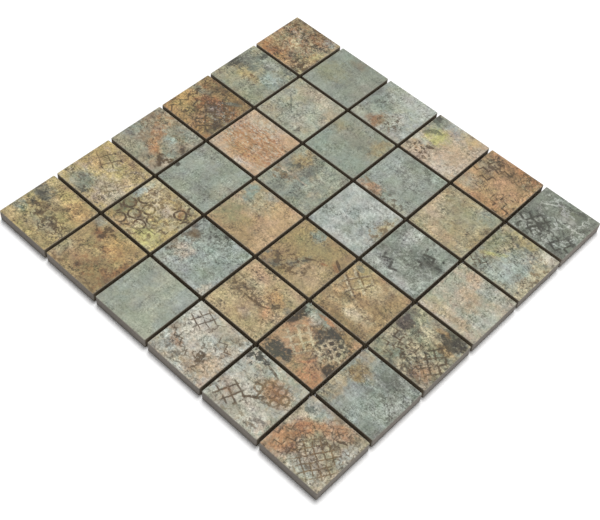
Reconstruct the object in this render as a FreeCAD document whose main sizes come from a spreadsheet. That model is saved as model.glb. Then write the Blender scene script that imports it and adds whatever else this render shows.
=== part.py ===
import FreeCAD, Part
import Sketcher
import math
import os

# A mosaic sheet: square pressed tiles laid face up in rows and columns with open joints,
# and held at their spacing by a scrim of glass yarns glued to their backs.
# Millimetres, +Z up. The origin is under the middle of the sheet, on the plane it lies on.
# Columns run along X, the first at -X. Rows run along Y, the first at +Y.

os.makedirs("parts", exist_ok=True)
doc = FreeCAD.newDocument("mosaic_tile_sheet")

# Driving dimensions: name, size, what it is
driving = [
    ("columns", 6, "tiles along X"),
    ("rows", 6, "tiles along Y"),
    ("tileSide", 48.0, "side of a tile"),
    ("jointWidth", 2.4, "open joint between two tiles"),
    ("tileThickness", 8.5, "tile from its back to its face"),
    ("cornerRadius", 0.8, "rounding of a tile's four upright corners"),
    ("arris", 0.5, "bevel round a tile's face"),
    ("recessBorder", 4.0, "plain rim of a tile's back, round its recess"),
    ("recessDepth", 0.5, "depth of the recess that keys the adhesive"),
    ("yarnWidth", 0.9, "width of a flattened yarn"),
    ("yarnThickness", 0.25, "thickness of one layer of yarns"),
    ("scrimMesh", 6.3, "spacing of the yarns, both ways"),
    ("scrimMargin", 1.0, "how far the scrim stops short of the sheet's edge"),
]
sizes = doc.addObject("Spreadsheet::Sheet", "Sizes")
for line, (name, size, meaning) in enumerate(driving, start=1):
    sizes.set(f"A{line}", name)
    sizes.set(f"B{line}", str(size))
    sizes.set(f"C{line}", meaning)
    sizes.setAlias(f"B{line}", name)
doc.recompute()

# Sizes that follow from the driving ones
pitch = "(Sizes.tileSide + Sizes.jointWidth)"
sheet_along_x = f"(Sizes.columns * {pitch} - Sizes.jointWidth)"
sheet_along_y = f"(Sizes.rows * {pitch} - Sizes.jointWidth)"
recess_side = "(Sizes.tileSide - 2 * Sizes.recessBorder)"
scrim_thickness = "(2 * Sizes.yarnThickness)"

# Ends of a line or an arc in a sketch, and an arc's centre
START, END, CENTRE = 1, 2, 3
UP = FreeCAD.Vector(0, 0, 1)


def flat_sketch(body, name):
    # A sketch on a body's own XY plane, seen from above.
    sketch = body.newObject("Sketcher::SketchObject", name)
    planes = {plane.Role: plane for plane in body.Origin.OriginFeatures}
    sketch.AttachmentSupport = (planes["XY_Plane"], "")
    sketch.MapMode = "FlatFace"
    return sketch


def constrain(sketch, kind, *what, tied_to=None):
    # Adds a constraint, and ties its size to an expression where it has one.
    index = sketch.addConstraint(Sketcher.Constraint(kind, *what))
    if tied_to:
        sketch.setExpression(f"Constraints[{index}]", tied_to)


def draw_rounded_square(sketch, side, radius):
    # Four sides, then the four corner arcs that follow them round, about the origin.
    reach = sizes.tileSide / 2
    flat = reach - sizes.cornerRadius
    for quarter in range(4):
        turn = FreeCAD.Rotation(UP, 90 * quarter)
        low = turn.multVec(FreeCAD.Vector(reach, -flat, 0))
        high = turn.multVec(FreeCAD.Vector(reach, flat, 0))
        sketch.addGeometry(Part.LineSegment(low, high))
    for quarter in range(4):
        turn = FreeCAD.Rotation(UP, 90 * quarter)
        centre = turn.multVec(FreeCAD.Vector(flat, flat, 0))
        circle = Part.Circle(centre, UP, sizes.cornerRadius)
        first = quarter * math.pi / 2
        sketch.addGeometry(Part.ArcOfCircle(circle, first, first + math.pi / 2))
    right, top, left, bottom = range(4)
    corners = range(4, 8)
    for quarter in range(4):
        following = (quarter + 1) % 4
        constrain(sketch, "Tangent", quarter, END, corners[quarter], START)
        constrain(sketch, "Tangent", corners[quarter], END, following, START)
    for corner in corners[1:]:
        constrain(sketch, "Equal", corners[0], corner)
    for line in (right, left):
        constrain(sketch, "Vertical", line)
    for line in (top, bottom):
        constrain(sketch, "Horizontal", line)
    constrain(sketch, "Symmetric", corners[0], CENTRE, corners[2], CENTRE, -1, START)
    constrain(sketch, "Radius", corners[0], sizes.cornerRadius, tied_to=radius)
    constrain(sketch, "DistanceX", left, START, right, START, 2 * reach, tied_to=side)
    constrain(sketch, "DistanceY", bottom, START, top, START, 2 * reach, tied_to=side)


def draw_rectangle(sketch, along_x, along_y):
    # Four sides about the origin. Their lengths come from the expressions.
    corners = [FreeCAD.Vector(x, y, 0) for x, y in ((-1, -1), (1, -1), (1, 1), (-1, 1))]
    for index, corner in enumerate(corners):
        sketch.addGeometry(Part.LineSegment(corner, corners[(index + 1) % 4]))
    bottom, right, top, left = range(4)
    for line in range(4):
        constrain(sketch, "Coincident", line, END, (line + 1) % 4, START)
    for line in (bottom, top):
        constrain(sketch, "Horizontal", line)
    for line in (right, left):
        constrain(sketch, "Vertical", line)
    constrain(sketch, "Symmetric", bottom, START, top, START, -1, START)
    constrain(sketch, "DistanceX", bottom, START, bottom, END, 2, tied_to=along_x)
    constrain(sketch, "DistanceY", right, START, right, END, 2, tied_to=along_y)


def highest_face(shape):
    heights = [face.CenterOfMass.z for face in shape.Faces]
    return f"Face{heights.index(max(heights)) + 1}"


def place(body, x="0", y="0", z="0"):
    for axis, expression in (("x", x), ("y", y), ("z", z)):
        body.setExpression(f"Placement.Base.{axis}", expression)


# Pressed tile: rounded upright corners, a bevelled arris round the face, and a shallow
# recess in the back that the adhesive keys into. Its own origin is mid-back.
def pressed_tile(name):
    tile = doc.addObject("PartDesign::Body", name)
    outline = flat_sketch(tile, name + "_outline")
    draw_rounded_square(outline, "Sizes.tileSide", "Sizes.cornerRadius")
    block = tile.newObject("PartDesign::Pad", name + "_block")
    block.Profile = outline
    block.setExpression("Length", "Sizes.tileThickness")
    doc.recompute()

    bevel = tile.newObject("PartDesign::Chamfer", name + "_arris")
    bevel.Base = (block, [highest_face(block.Shape)])
    bevel.setExpression("Size", "Sizes.arris")

    recess_outline = flat_sketch(tile, name + "_recess_outline")
    draw_rectangle(recess_outline, recess_side, recess_side)
    recess = tile.newObject("PartDesign::Pocket", name + "_recess")
    recess.Profile = recess_outline
    recess.Reversed = True
    recess.setExpression("Length", "Sizes.recessDepth")
    tile.Tip = recess
    doc.recompute()
    if not recess.Shape.Volume < bevel.Shape.Volume < block.Shape.Volume:
        raise RuntimeError("the arris or the recess takes nothing off the tile")
    return tile


def same_tile(name, original):
    # Another tile from the same die.
    tile = doc.addObject("PartDesign::Body", name)
    pressing = tile.newObject("PartDesign::FeatureBase", name + "_pressing")
    pressing.BaseFeature = original
    tile.Tip = pressing
    return tile


# Field of tiles, seated on the scrim
def lay_tiles():
    tiles = []
    for row in range(1, int(sizes.rows) + 1):
        for column in range(1, int(sizes.columns) + 1):
            name = f"tile_r{row}_c{column}"
            tile = same_tile(name, tiles[0]) if tiles else pressed_tile(name)
            tile.Label = name
            across = f"({column} - (Sizes.columns + 1) / 2) * {pitch}"
            up_sheet = f"((Sizes.rows + 1) / 2 - {row}) * {pitch}"
            place(tile, x=across, y=up_sheet, z=scrim_thickness)
            tiles.append(tile)
    return tiles


# One layer of the scrim: parallel flat yarns at the mesh's spacing, spread over the sheet.
# The layer is drawn with its yarns along Y. Turned, it crosses the other layer.
def yarn_layer(name, spread, run, level, turned):
    gaps = f"floor(({spread} - 2 * Sizes.scrimMargin - Sizes.yarnWidth) / Sizes.scrimMesh)"
    layer = doc.addObject("PartDesign::Body", name)
    layer.Label = name
    layer.AllowCompound = True
    outline = flat_sketch(layer, name + "_outline")
    draw_rectangle(outline, "Sizes.yarnWidth", f"{run} - 2 * Sizes.scrimMargin")
    yarn = layer.newObject("PartDesign::Pad", name + "_yarn")
    yarn.Profile = outline
    yarn.setExpression("Length", "Sizes.yarnThickness")
    yarns = layer.newObject("PartDesign::LinearPattern", name + "_yarns")
    yarns.Originals = [yarn]
    yarns.Direction = (outline, ["H_Axis"])
    yarns.setExpression("Occurrences", f"{gaps} + 1")
    yarns.setExpression("Length", f"{gaps} * Sizes.scrimMesh")
    layer.Tip = yarns
    first = f"-1 * {gaps} * Sizes.scrimMesh / 2"
    if turned:
        layer.Placement.Rotation = FreeCAD.Rotation(UP, 90)
        place(layer, y=first, z=level)
    else:
        place(layer, x=first, z=level)
    return layer


tiles = lay_tiles()
scrim = [
    yarn_layer("scrim_warp", sheet_along_x, sheet_along_y, "0", turned=False),
    yarn_layer("scrim_weft", sheet_along_y, sheet_along_x, "Sizes.yarnThickness", turned=True),
]
doc.recompute()

# Nothing is written unless every feature worked out and every solid is sound
sub_parts = tiles + scrim
for item in doc.Objects:
    if "Invalid" in item.State or "Error" in item.State:
        raise RuntimeError(f"{item.Label} failed: {item.State}")
for sub_part in sub_parts:
    if sub_part.Shape.isNull() or not sub_part.Shape.isValid():
        raise RuntimeError(f"{sub_part.Label} has no sound shape")
for sub_part in sub_parts:
    sub_part.Shape.exportStep(f"parts/{sub_part.Label}.step")
print(len(tiles), "tiles and", len(scrim), "yarn layers written")
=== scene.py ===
import math
from functools import partial

import bpy
from mathutils import Matrix, Vector


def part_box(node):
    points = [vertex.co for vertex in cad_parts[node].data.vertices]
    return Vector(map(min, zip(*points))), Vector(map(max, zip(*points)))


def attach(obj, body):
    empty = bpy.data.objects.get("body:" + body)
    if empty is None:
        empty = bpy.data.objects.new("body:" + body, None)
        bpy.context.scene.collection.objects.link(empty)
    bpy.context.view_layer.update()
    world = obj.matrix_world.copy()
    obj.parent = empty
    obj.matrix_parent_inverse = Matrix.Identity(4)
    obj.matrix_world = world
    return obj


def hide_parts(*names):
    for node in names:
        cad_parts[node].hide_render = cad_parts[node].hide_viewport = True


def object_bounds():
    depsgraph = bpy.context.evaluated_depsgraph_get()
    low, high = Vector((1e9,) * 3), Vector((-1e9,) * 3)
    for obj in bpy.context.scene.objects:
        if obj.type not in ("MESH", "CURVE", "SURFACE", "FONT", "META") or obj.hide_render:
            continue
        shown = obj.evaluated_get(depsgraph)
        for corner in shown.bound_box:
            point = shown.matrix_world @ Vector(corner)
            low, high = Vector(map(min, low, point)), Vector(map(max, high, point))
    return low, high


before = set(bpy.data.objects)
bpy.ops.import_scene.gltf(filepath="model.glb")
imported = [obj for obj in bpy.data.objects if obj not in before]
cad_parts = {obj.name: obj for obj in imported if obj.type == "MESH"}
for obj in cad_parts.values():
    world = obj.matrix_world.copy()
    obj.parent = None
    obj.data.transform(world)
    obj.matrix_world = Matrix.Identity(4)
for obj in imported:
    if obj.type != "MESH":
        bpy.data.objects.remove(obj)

# Mosaic tile sheet: 36 matt glazed tiles, pressed, on a laid scrim of glass yarns.
# Metres, in the CAD frame. Rows run along Y, the first at +Y, columns along X, the first at -X.
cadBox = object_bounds()
mm = 0.001

# Colours as the eye reads them, 0 to 255
palette = {
    "sage": (144, 149, 134), "paleSage": (163, 166, 149), "seaSage": (150, 157, 147),
    "slateSage": (131, 137, 126), "taupeSage": (147, 143, 125), "frost": (178, 182, 175),
    "mist": (158, 166, 162), "ice": (164, 176, 170), "teal": (140, 152, 142),
    "slate": (108, 112, 103), "charcoal": (68, 68, 61), "ink": (50, 45, 38),
    "inkViolet": (72, 62, 60), "mossGrey": (122, 124, 107), "umber": (114, 95, 69),
    "bark": (82, 67, 49), "taupe": (142, 130, 110), "mauve": (158, 146, 138),
    "rust": (150, 109, 73), "rustBrown": (136, 100, 70), "terracotta": (172, 130, 97),
    "honey": (178, 146, 100), "honeySand": (176, 150, 112), "peachClay": (178, 145, 113),
    "peach": (188, 160, 129), "sandPeach": (175, 155, 124), "blush": (184, 171, 151),
    "cream": (188, 177, 148), "bone": (197, 193, 180), "bonePale": (184, 178, 163),
    "straw": (180, 163, 114), "strawSand": (173, 157, 119), "sand": (167, 153, 121),
    "ochre": (156, 138, 99), "ochreSand": (162, 144, 105), "tan": (152, 132, 99),
    "khaki": (162, 156, 131), "olive": (140, 136, 104), "moss": (114, 114, 88),
    # The body's rim colour is paler than the body: partly painted highlight along the arris
    "lime": (188, 184, 122), "biscuit": (140, 133, 125), "rimBodyHighlight": (152, 145, 134),
    # The joint colour below is painted shade between the tiles, not the body's own colour
    "jointShade": (108, 92, 58), "yarn": (208, 208, 202), "resin": (190, 186, 172),
}


def linear(level):
    share = level / 255
    return share / 12.92 if share <= 0.04045 else ((share + 0.055) / 1.055) ** 2.4


def tint(name):
    return (*map(linear, palette[name]), 1.0)


# A value in a node tree, shader or geometry alike. Sums and products of wires, and comparisons,
# are written as with numbers, and each makes its maths node.
class Wire:
    def __init__(self, node, output=0):
        self.socket = node.outputs[output]
        self.tree = node.id_data

    def __add__(self, other):
        return maths("ADD", self, other)

    def __sub__(self, other):
        return maths("SUBTRACT", self, other)

    def __rsub__(self, other):
        return maths("SUBTRACT", other, self)

    def __mul__(self, other):
        return maths("MULTIPLY", self, other)

    def __truediv__(self, other):
        return maths("DIVIDE", self, other)

    def __pow__(self, other):
        return maths("POWER", self, other)

    def __gt__(self, other):
        return maths("GREATER_THAN", self, other)

    def __lt__(self, other):
        return maths("LESS_THAN", self, other)

    def __abs__(self):
        return maths("ABSOLUTE", self)


def feed(socket, value):
    # A wire is linked, anything else is the socket's own value
    if isinstance(value, Wire):
        value.tree.links.new(value.socket, socket)
    else:
        socket.default_value = value


def feedAll(node, inputs):
    for label, value in inputs.items():
        feed(node.inputs[label], value)


def addNode(tree, kind, inputs={}, **settings):
    node = tree.nodes.new(kind)
    for setting, value in settings.items():
        setattr(node, setting, value)
    feedAll(node, inputs)
    return node


def wire(tree, kind, inputs={}, output=0, **settings):
    # A new node, for the value that it gives
    return Wire(addNode(tree, kind, inputs, **settings), output)


def treeOf(*values):
    return next(value.tree for value in values if isinstance(value, Wire))


def isVector(value):
    if isinstance(value, Wire):
        return value.socket.type in ("VECTOR", "RGBA")
    return not isinstance(value, (int, float))


def scaled(vector, factor):
    tree = treeOf(vector, factor)
    return wire(tree, "ShaderNodeVectorMath", {"Vector": vector, "Scale": factor}, operation="SCALE")


def maths(operation, *values, clamp=False):
    # Plain maths, or vector maths where the first value is a vector or a colour
    tree = treeOf(*values)
    inputs = dict(enumerate(values))
    if not isVector(values[0]):
        return wire(tree, "ShaderNodeMath", inputs, operation=operation, use_clamp=clamp)
    if operation == "MULTIPLY" and not isVector(values[1]):
        return scaled(*values)
    output = "Value" if operation == "LENGTH" else "Vector"
    return wire(tree, "ShaderNodeVectorMath", inputs, output, operation=operation)


def larger(first, second):
    return maths("MAXIMUM", first, second)


def combined(x, y=0.0, z=0.0):
    return wire(treeOf(x, y, z), "ShaderNodeCombineXYZ", {"X": x, "Y": y, "Z": z})


def separated(vector):
    node = addNode(vector.tree, "ShaderNodeSeparateXYZ", {"Vector": vector})
    return [Wire(node, axis) for axis in "XYZ"]


def turned(place, angle):
    inputs = {"Vector": place, "Angle": angle}
    return wire(place.tree, "ShaderNodeVectorRotate", inputs, rotation_type="Z_AXIS")


def mapRange(value, low, high, toLow=0.0, toHigh=1.0, smooth=True):
    inputs = {"Value": value, "From Min": low, "From Max": high, "To Min": toLow, "To Max": toHigh}
    style = "SMOOTHSTEP" if smooth else "LINEAR"
    return wire(value.tree, "ShaderNodeMapRange", inputs, interpolation_type=style)


def noise(place, scale, detail=4.0, roughness=0.6, distortion=0.0, output=0):
    return wire(place.tree, "ShaderNodeTexNoise", {
        "Vector": place, "Scale": scale, "Detail": detail, "Roughness": roughness, "Distortion": distortion,
    }, output)


def noiseTrio(place, scale, detail=4.0, roughness=0.6):
    # Three unrelated noises at once, each about zero
    return noise(place, scale, detail, roughness, output="Color") - (0.5, 0.5, 0.5)


def ridges(value, width):
    # Thin lines where a noise passes through its middle
    return mapRange(abs(value - 0.5), 0.0, width, 1.0, 0.0)


def mixColour(factor, first, second):
    return wire(factor.tree, "ShaderNodeMix", {0: factor, 6: first, 7: second}, 2, data_type="RGBA")


def newGroup(name, kind, inputs, outputs):
    # Each input is given by its first value, or by its kind where it has none
    tree = bpy.data.node_groups.new(name, kind)
    for label, first in inputs.items():
        plain = {float: "Float", int: "Int"}.get(type(first))
        socketType = "NodeSocket" + (plain or first)
        socket = tree.interface.new_socket(label, in_out="INPUT", socket_type=socketType)
        if plain:
            socket.default_value = first
    for label, socketKind in outputs.items():
        tree.interface.new_socket(label, in_out="OUTPUT", socket_type="NodeSocket" + socketKind)
    source = addNode(tree, "NodeGroupInput")
    given = {label: Wire(source, label) for label in inputs}
    return tree, given, addNode(tree, "NodeGroupOutput").inputs


def newMaterial(name):
    # With its shader, and the place on the object that every look starts from
    material = bpy.data.materials.new(name)
    material.use_nodes = True
    shader = material.node_tree.nodes["Principled BSDF"]
    return material, shader, wire(material.node_tree, "ShaderNodeTexCoord", output="Object")


def dress(shader, looks, height, look):
    # The looks go to the shader's inputs, and the height makes the bump
    inputs = {"Height": height, "Strength": look["bump"], "Distance": look["bumpDepth"]}
    feedAll(shader, looks)
    feed(shader.inputs["Normal"], wire(height.tree, "ShaderNodeBump", inputs))


# Glaze: clouds of three colours. Place runs from -1 to 1 over a tile.
groundLook = {
    "driftScale": 2.4, "drift": 0.55, "detail": 5.0, "roughness": 0.62,
    "firstEdge": (0.42, 0.58), "secondEdge": (0.5, 0.66), "secondScale": 1.7,
    "patchScale": 5.5, "patchEdge": (0.48, 0.64), "patches": 0.45, "dropScale": 1.3, "drops": 0.35,
}


def seededPlace(given):
    return given["Place"] + combined(given["Seed"], given["Seed"], given["Seed"])


def makeGroundGroup():
    tree, given, result = newGroup("glazeGround", "ShaderNodeTree", {
        "Place": "Vector", "Seed": 0.0, "Main": "Color", "Second": "Color", "Third": "Color", "Spread": 1.6,
    }, {"Colour": "Color"})
    detail, roughness, scale = groundLook["detail"], groundLook["roughness"], groundLook["patchScale"]
    seeded = seededPlace(given)
    driven = seeded + noiseTrio(seeded, groundLook["driftScale"]) * groundLook["drift"]
    clouds = noise(driven, given["Spread"], detail, roughness)
    drifts = noise(driven * groundLook["secondScale"], given["Spread"], detail, roughness)
    patches = noise(seeded, scale, roughness=roughness)
    drops = noise(seeded * groundLook["dropScale"], scale, roughness=roughness)
    colour = mixColour(mapRange(clouds, *groundLook["firstEdge"]), given["Main"], given["Second"])
    colour = mixColour(mapRange(drifts, *groundLook["secondEdge"]), colour, given["Third"])
    patched = mapRange(patches, *groundLook["patchEdge"], 0.0, groundLook["patches"])
    colour = mixColour(patched, colour, given["Second"])
    dropped = mapRange(drops, *groundLook["patchEdge"], 0.0, groundLook["drops"])
    feed(result["Colour"], mixColour(dropped, colour, given["Third"]))
    return tree


# Firing texture over the ground and the marks: how fine each layer is and how strongly it shows.
# Linen is a faint weave, threads along the tile's two sides. A grain is a noise's detail,
# roughness and distortion.
textureLayers = {
    "swell": (2.6, 1.6), "mottle": (8.5, 1.1), "speckle": (18.0, 2.4), "hatching": (17.0, 1.1),
    "grain": (32.0, 0.9), "linenAlong": (9.0, 0.9), "linenAcross": (9.0, 0.9),
}
textureLines = {"crazing": (6.5, 0.045, -0.38), "threads": (9.0, 0.05, 0.3)}
textureLook = {
    "layerGrain": (3.0, 0.65), "lineGrain": (3.0, 0.6, 0.8), "hatchStretch": 0.35, "linenStretch": 0.08,
    "busyScale": 1.7, "busyGrain": (3.0, 0.5), "busyEdge": (0.4, 0.6), "busy": (0.7, 1.3),
    "hueScale": 2.0, "hueGrain": (2.0, 0.5), "hues": 0.22, "level": (0.99, 0.985, 0.955), "floor": 0.15,
}


def makeTextureGroup():
    tree, given, result = newGroup("glazeTexture", "ShaderNodeTree", {
        "Place": "Vector", "Seed": 0.0, "Colour": "Color", "Mottle": 1.0, "Lay": 0.0,
    }, {"Colour": "Color", "Height": "Float"})
    seeded = seededPlace(given)
    linen = textureLook["linenStretch"]
    places = {
        "hatching": turned(seeded, given["Lay"]) * (textureLook["hatchStretch"], 1.0, 1.0),
        "linenAlong": seeded * (linen, 1.0, 1.0),
        "linenAcross": seeded * (1.0, linen, 1.0),
    }
    busy = noise(seeded, textureLook["busyScale"], *textureLook["busyGrain"])
    busy = mapRange(busy, *textureLook["busyEdge"], *textureLook["busy"])
    layers = []
    for name, (scale, share) in textureLayers.items():
        layer = (noise(places.get(name, seeded), scale, *textureLook["layerGrain"]) - 0.5) * share
        layers.append(layer if name == "swell" else layer * busy)
    for scale, width, share in textureLines.values():
        line = ridges(noise(seeded, scale, *textureLook["lineGrain"]), width)
        layers.append(line * share * busy)
    height = sum(layers[1:], layers[0])
    hues = noiseTrio(seeded, textureLook["hueScale"], *textureLook["hueGrain"]) * textureLook["hues"]
    light = (combined(height, height, height) + hues) * given["Mottle"] + textureLook["level"]
    feed(result["Colour"], given["Colour"] * larger(light, [textureLook["floor"]] * 3))
    feed(result["Height"], height)
    return tree


# Marks laid over the ground. Each pattern gives how much of its paint shows at a place: seeded is
# the place on the tile, local the same in the mark's own directions.
patternLook = {
    "washScale": 6.0, "washEdge": (0.36, 0.56), "washThin": 0.55,
    "strokeScale": 10.0, "strokeGrain": (4.0, 0.65), "strokeEdge": (0.34, 0.46), "strokeThin": 0.3,
    "fleckGrain": (5.0, 0.66), "fleckEdge": 0.05, "veinGrain": (6.0, 0.58), "scrawlGrain": (2.5, 0.5),
    "brushGrain": (4.0, 0.65, 0.3), "brushEdge": 0.08, "brushStretch": 0.18,
    "wornScale": 4.0, "wornGrain": (5.0, 0.7), "wornEdge": (0.38, 0.48), "wornThin": 0.15,
    "lineCore": 0.4, "wobbleScales": (3.0, 2.6), "wobbleShift": 1.1, "wobbleDetail": 2.0,
    "combWobble": 0.5, "latticeWobble": 0.12, "ringWobble": 0.1, "ringRadius": 0.29,
    "shoveScale": 2.6, "shoveDetail": 5.0, "shove": 0.7, "softEdge": (-0.35, 0.65),
    "tearScale": 5.0, "tearGrain": (5.0, 0.66), "tear": 2.6,
}


def washPattern(given, local, seeded):
    specks = noise(seeded, patternLook["washScale"])
    return mapRange(specks, *patternLook["washEdge"], patternLook["washThin"], 1.0)


def strokePattern(given, local, seeded):
    specks = noise(seeded, patternLook["strokeScale"], *patternLook["strokeGrain"])
    return mapRange(specks, *patternLook["strokeEdge"], patternLook["strokeThin"], 1.0)


def fleckPattern(given, local, seeded):
    specks = noise(seeded, given["Pitch"], *patternLook["fleckGrain"])
    return mapRange(specks, given["Line"], given["Line"] + patternLook["fleckEdge"])


def brushPattern(given, local, seeded):
    along = local * (patternLook["brushStretch"], 1.0, 1.0) + combined(given["Seed"], given["Seed"])
    hairs = noise(along, given["Pitch"], *patternLook["brushGrain"])
    return mapRange(hairs, given["Line"], given["Line"] + patternLook["brushEdge"])


def veinPattern(given, local, seeded):
    return ridges(noise(seeded, given["Pitch"], *patternLook["veinGrain"]), given["Line"])


def worn(seeded, amount):
    # Drawn lines fade out in patches
    faded = noise(seeded, patternLook["wornScale"], *patternLook["wornGrain"])
    return amount * mapRange(faded, *patternLook["wornEdge"], patternLook["wornThin"], 1.0)


def scrawlPattern(given, local, seeded):
    lines = ridges(noise(seeded, given["Pitch"], *patternLook["scrawlGrain"]), given["Line"])
    return worn(seeded, lines)


def wobbled(local, seeded, reach):
    # Hand-drawn lines don't run true
    detail = patternLook["wobbleDetail"]
    coarse, fine = patternLook["wobbleScales"]
    across = noise(seeded, coarse, detail)
    up = noise(seeded * patternLook["wobbleShift"], fine, detail)
    return separated(local + combined(across, up) * reach)


def inCell(value):
    # Where a value lies between two whole numbers, from -0.5 to 0.5
    return maths("FRACT", value) - 0.5


def thinLine(away, line):
    # Full where away is nothing, and gone at the line's half width
    return mapRange(abs(away), line * patternLook["lineCore"], line, 1.0, 0.0)


def combPattern(given, local, seeded):
    x, y, z = wobbled(local, seeded, patternLook["combWobble"])
    return worn(seeded, thinLine(inCell(y / given["Pitch"]), given["Line"]))


def latticePattern(given, local, seeded):
    x, y, z = wobbled(local, seeded, patternLook["latticeWobble"])
    rising, falling = [thinLine(inCell(way / given["Pitch"]), given["Line"]) for way in (x + y, x - y)]
    return worn(seeded, larger(rising, falling))


def ringPattern(given, local, seeded):
    # Circles in staggered rows, just clear of each other
    x, y, z = wobbled(local, seeded, patternLook["ringWobble"])
    rings = []
    for offset in (0.0, 0.5):
        across, up = [inCell(way / given["Pitch"] + offset) for way in (x, y)]
        away = maths("LENGTH", combined(across, up)) - patternLook["ringRadius"]
        rings.append(thinLine(away, given["Line"]))
    return worn(seeded, larger(*rings))


def chevronPattern(given, local, seeded):
    # Rows of zigzag lines
    x, y, z = wobbled(local, seeded, patternLook["ringWobble"])
    zigzag = abs(inCell(x / given["Pitch"] + 0.5))
    return worn(seeded, thinLine(inCell(y / given["Pitch"] + zigzag), given["Line"]))


def turnedPlace(given, place):
    # Into the mark's own directions, with the stroke's bend taken out
    x, y, z = separated(turned(place, given["Turn"]))
    return combined(x, y - x * x * given["Bend"], z)


def makeMarkGroup(name, pattern):
    tree, given, result = newGroup(name, "ShaderNodeTree", {
        "Under": "Color", "Paint": "Color", "Place": "Vector", "Centre": "Vector", "Reach": "Vector",
        "Turn": 0.0, "Bend": 0.0, "Strength": 0.7, "Ragged": 1.2, "Soft": 0.5, "Pitch": 1.0, "Line": 0.1,
        "Seed": 0.0,
    }, {"Colour": "Color"})
    seeded = seededPlace(given)
    offset = given["Place"] - given["Centre"]
    shove = noiseTrio(seeded, patternLook["shoveScale"], patternLook["shoveDetail"])
    shove = shove * (given["Ragged"] * patternLook["shove"])
    driven = turnedPlace(given, offset + shove) / given["Reach"] * (1.0, 1.0, 0.0)
    torn = noise(seeded, patternLook["tearScale"], *patternLook["tearGrain"]) - 0.5
    edge = 1.0 - maths("LENGTH", driven) + torn * (given["Ragged"] * patternLook["tear"])
    amount = mapRange(edge, *[given["Soft"] * share for share in patternLook["softEdge"]])
    amount = amount * pattern(given, turnedPlace(given, offset), seeded)
    amount = maths("MULTIPLY", amount, given["Strength"], clamp=True)
    feed(result["Colour"], mixColour(amount, given["Under"], given["Paint"]))
    return tree


# Each kind of mark: its pattern, and the inputs that most marks of the kind share
markHabits = {
    "wash": (washPattern, {"ragged": 0.7, "soft": 0.9}),
    "stroke": (strokePattern, {"ragged": 0.25, "soft": 0.4}),
    "flecks": (fleckPattern, {"ragged": 0.9, "soft": 0.6, "pitch": 5.0, "line": 0.52}),
    "brush": (brushPattern, {"ragged": 0.7, "soft": 0.5, "pitch": 6.0, "line": 0.5}),
    "veins": (veinPattern, {"ragged": 0.8, "soft": 0.6, "pitch": 2.4, "line": 0.03}),
    "scrawl": (scrawlPattern, {"ragged": 0.6, "soft": 0.6, "pitch": 3.0, "line": 0.05}),
    "comb": (combPattern, {"ragged": 0.6, "soft": 0.5, "pitch": 0.14, "line": 0.3}),
    "lattice": (latticePattern, {"ragged": 0.4, "soft": 0.4, "pitch": 0.42, "line": 0.17}),
    "rings": (ringPattern, {"ragged": 0.4, "soft": 0.4, "pitch": 0.62, "line": 0.08}),
    "chevron": (chevronPattern, {"ragged": 0.4, "soft": 0.4, "pitch": 0.34, "line": 0.13}),
}
groundGroup = makeGroundGroup()
textureGroup = makeTextureGroup()
markGroups = {kind: makeMarkGroup("glaze_" + kind, habit[0]) for kind, habit in markHabits.items()}
print("glaze patterns made:", len(markGroups))


def mark(kind, paint, u, v, reachU, reachV, strength, turn=0, **changes):
    # One mark of a glaze: its kind, its paint, where on the tile it lies and how far it reaches
    pattern, habit = markHabits[kind]
    inputs = {label.capitalize(): value for label, value in {**habit, **changes}.items()}
    inputs.update(Paint=tint(paint), Centre=(u, v, 0), Reach=(reachU, reachV, 1), Strength=strength)
    inputs["Turn"] = -math.radians(turn)
    return kind, inputs


# A short call for each kind, in the order of markHabits
wash, stroke, flecks, brush, veins, scrawl, comb, lattice, rings, chevron = [
    partial(mark, kind) for kind in markHabits]

# The glaze of each tile: its ground, how large the clouds are, how mottled it is, how its hatching
# lies, and its marks from the lowest up
tileGlazes = {}
tileGlazes["tile_r1_c1"] = dict(ground=("sand", "taupe", "sand"), spread=1.8, mottle=1.3, lay=20, marks=[
    wash("umber", -0.5, 0.65, 0.9, 0.45, 0.5), wash("mauve", -0.35, 0.45, 0.45, 0.25, 0.5),
    wash("rustBrown", 0.35, 0.75, 0.5, 0.3, 0.6), wash("mist", 0.68, 0.8, 0.22, 0.2, 0.7),
    wash("cream", 0.35, -0.05, 0.7, 0.4, 0.35), wash("straw", 0.8, -0.15, 0.3, 0.35, 0.5),
    wash("rust", -0.88, -0.1, 0.25, 0.5, 0.6), wash("rust", -0.5, -0.82, 0.9, 0.38, 0.95),
    wash("rustBrown", -0.2, -0.7, 0.4, 0.16, 0.6), wash("honey", 0.2, -0.85, 0.4, 0.2, 0.5),
    flecks("rustBrown", -0.2, 0.3, 1.2, 0.9, 0.7, pitch=7.0, line=0.5),
    flecks("bark", -0.2, 0.6, 1.2, 0.5, 0.95, pitch=6.0, line=0.51),
    flecks("umber", 0.1, -0.15, 1.1, 0.5, 0.7, pitch=6.0, line=0.53),
    flecks("bark", 0.75, -0.7, 0.4, 0.4, 0.95, line=0.47),
    flecks("cream", -0.1, 0.1, 1.1, 0.8, 0.4, pitch=6.0, line=0.54),
])
tileGlazes["tile_r1_c2"] = dict(
    ground=("sage", "slateSage", "seaSage"), spread=1.1, mottle=0.5, lay=70, marks=[
    wash("olive", -0.45, -0.1, 0.6, 0.5, 0.5), wash("taupe", 0.0, 0.72, 0.32, 0.22, 0.6),
    wash("sage", 0.5, 0.3, 0.5, 0.6, 0.5), wash("seaSage", 0.0, -0.85, 1.2, 0.3, 0.6),
    wash("mauve", 0.85, -0.1, 0.3, 0.7, 0.25), wash("teal", -0.7, 0.75, 0.3, 0.3, 0.6),
])
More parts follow.
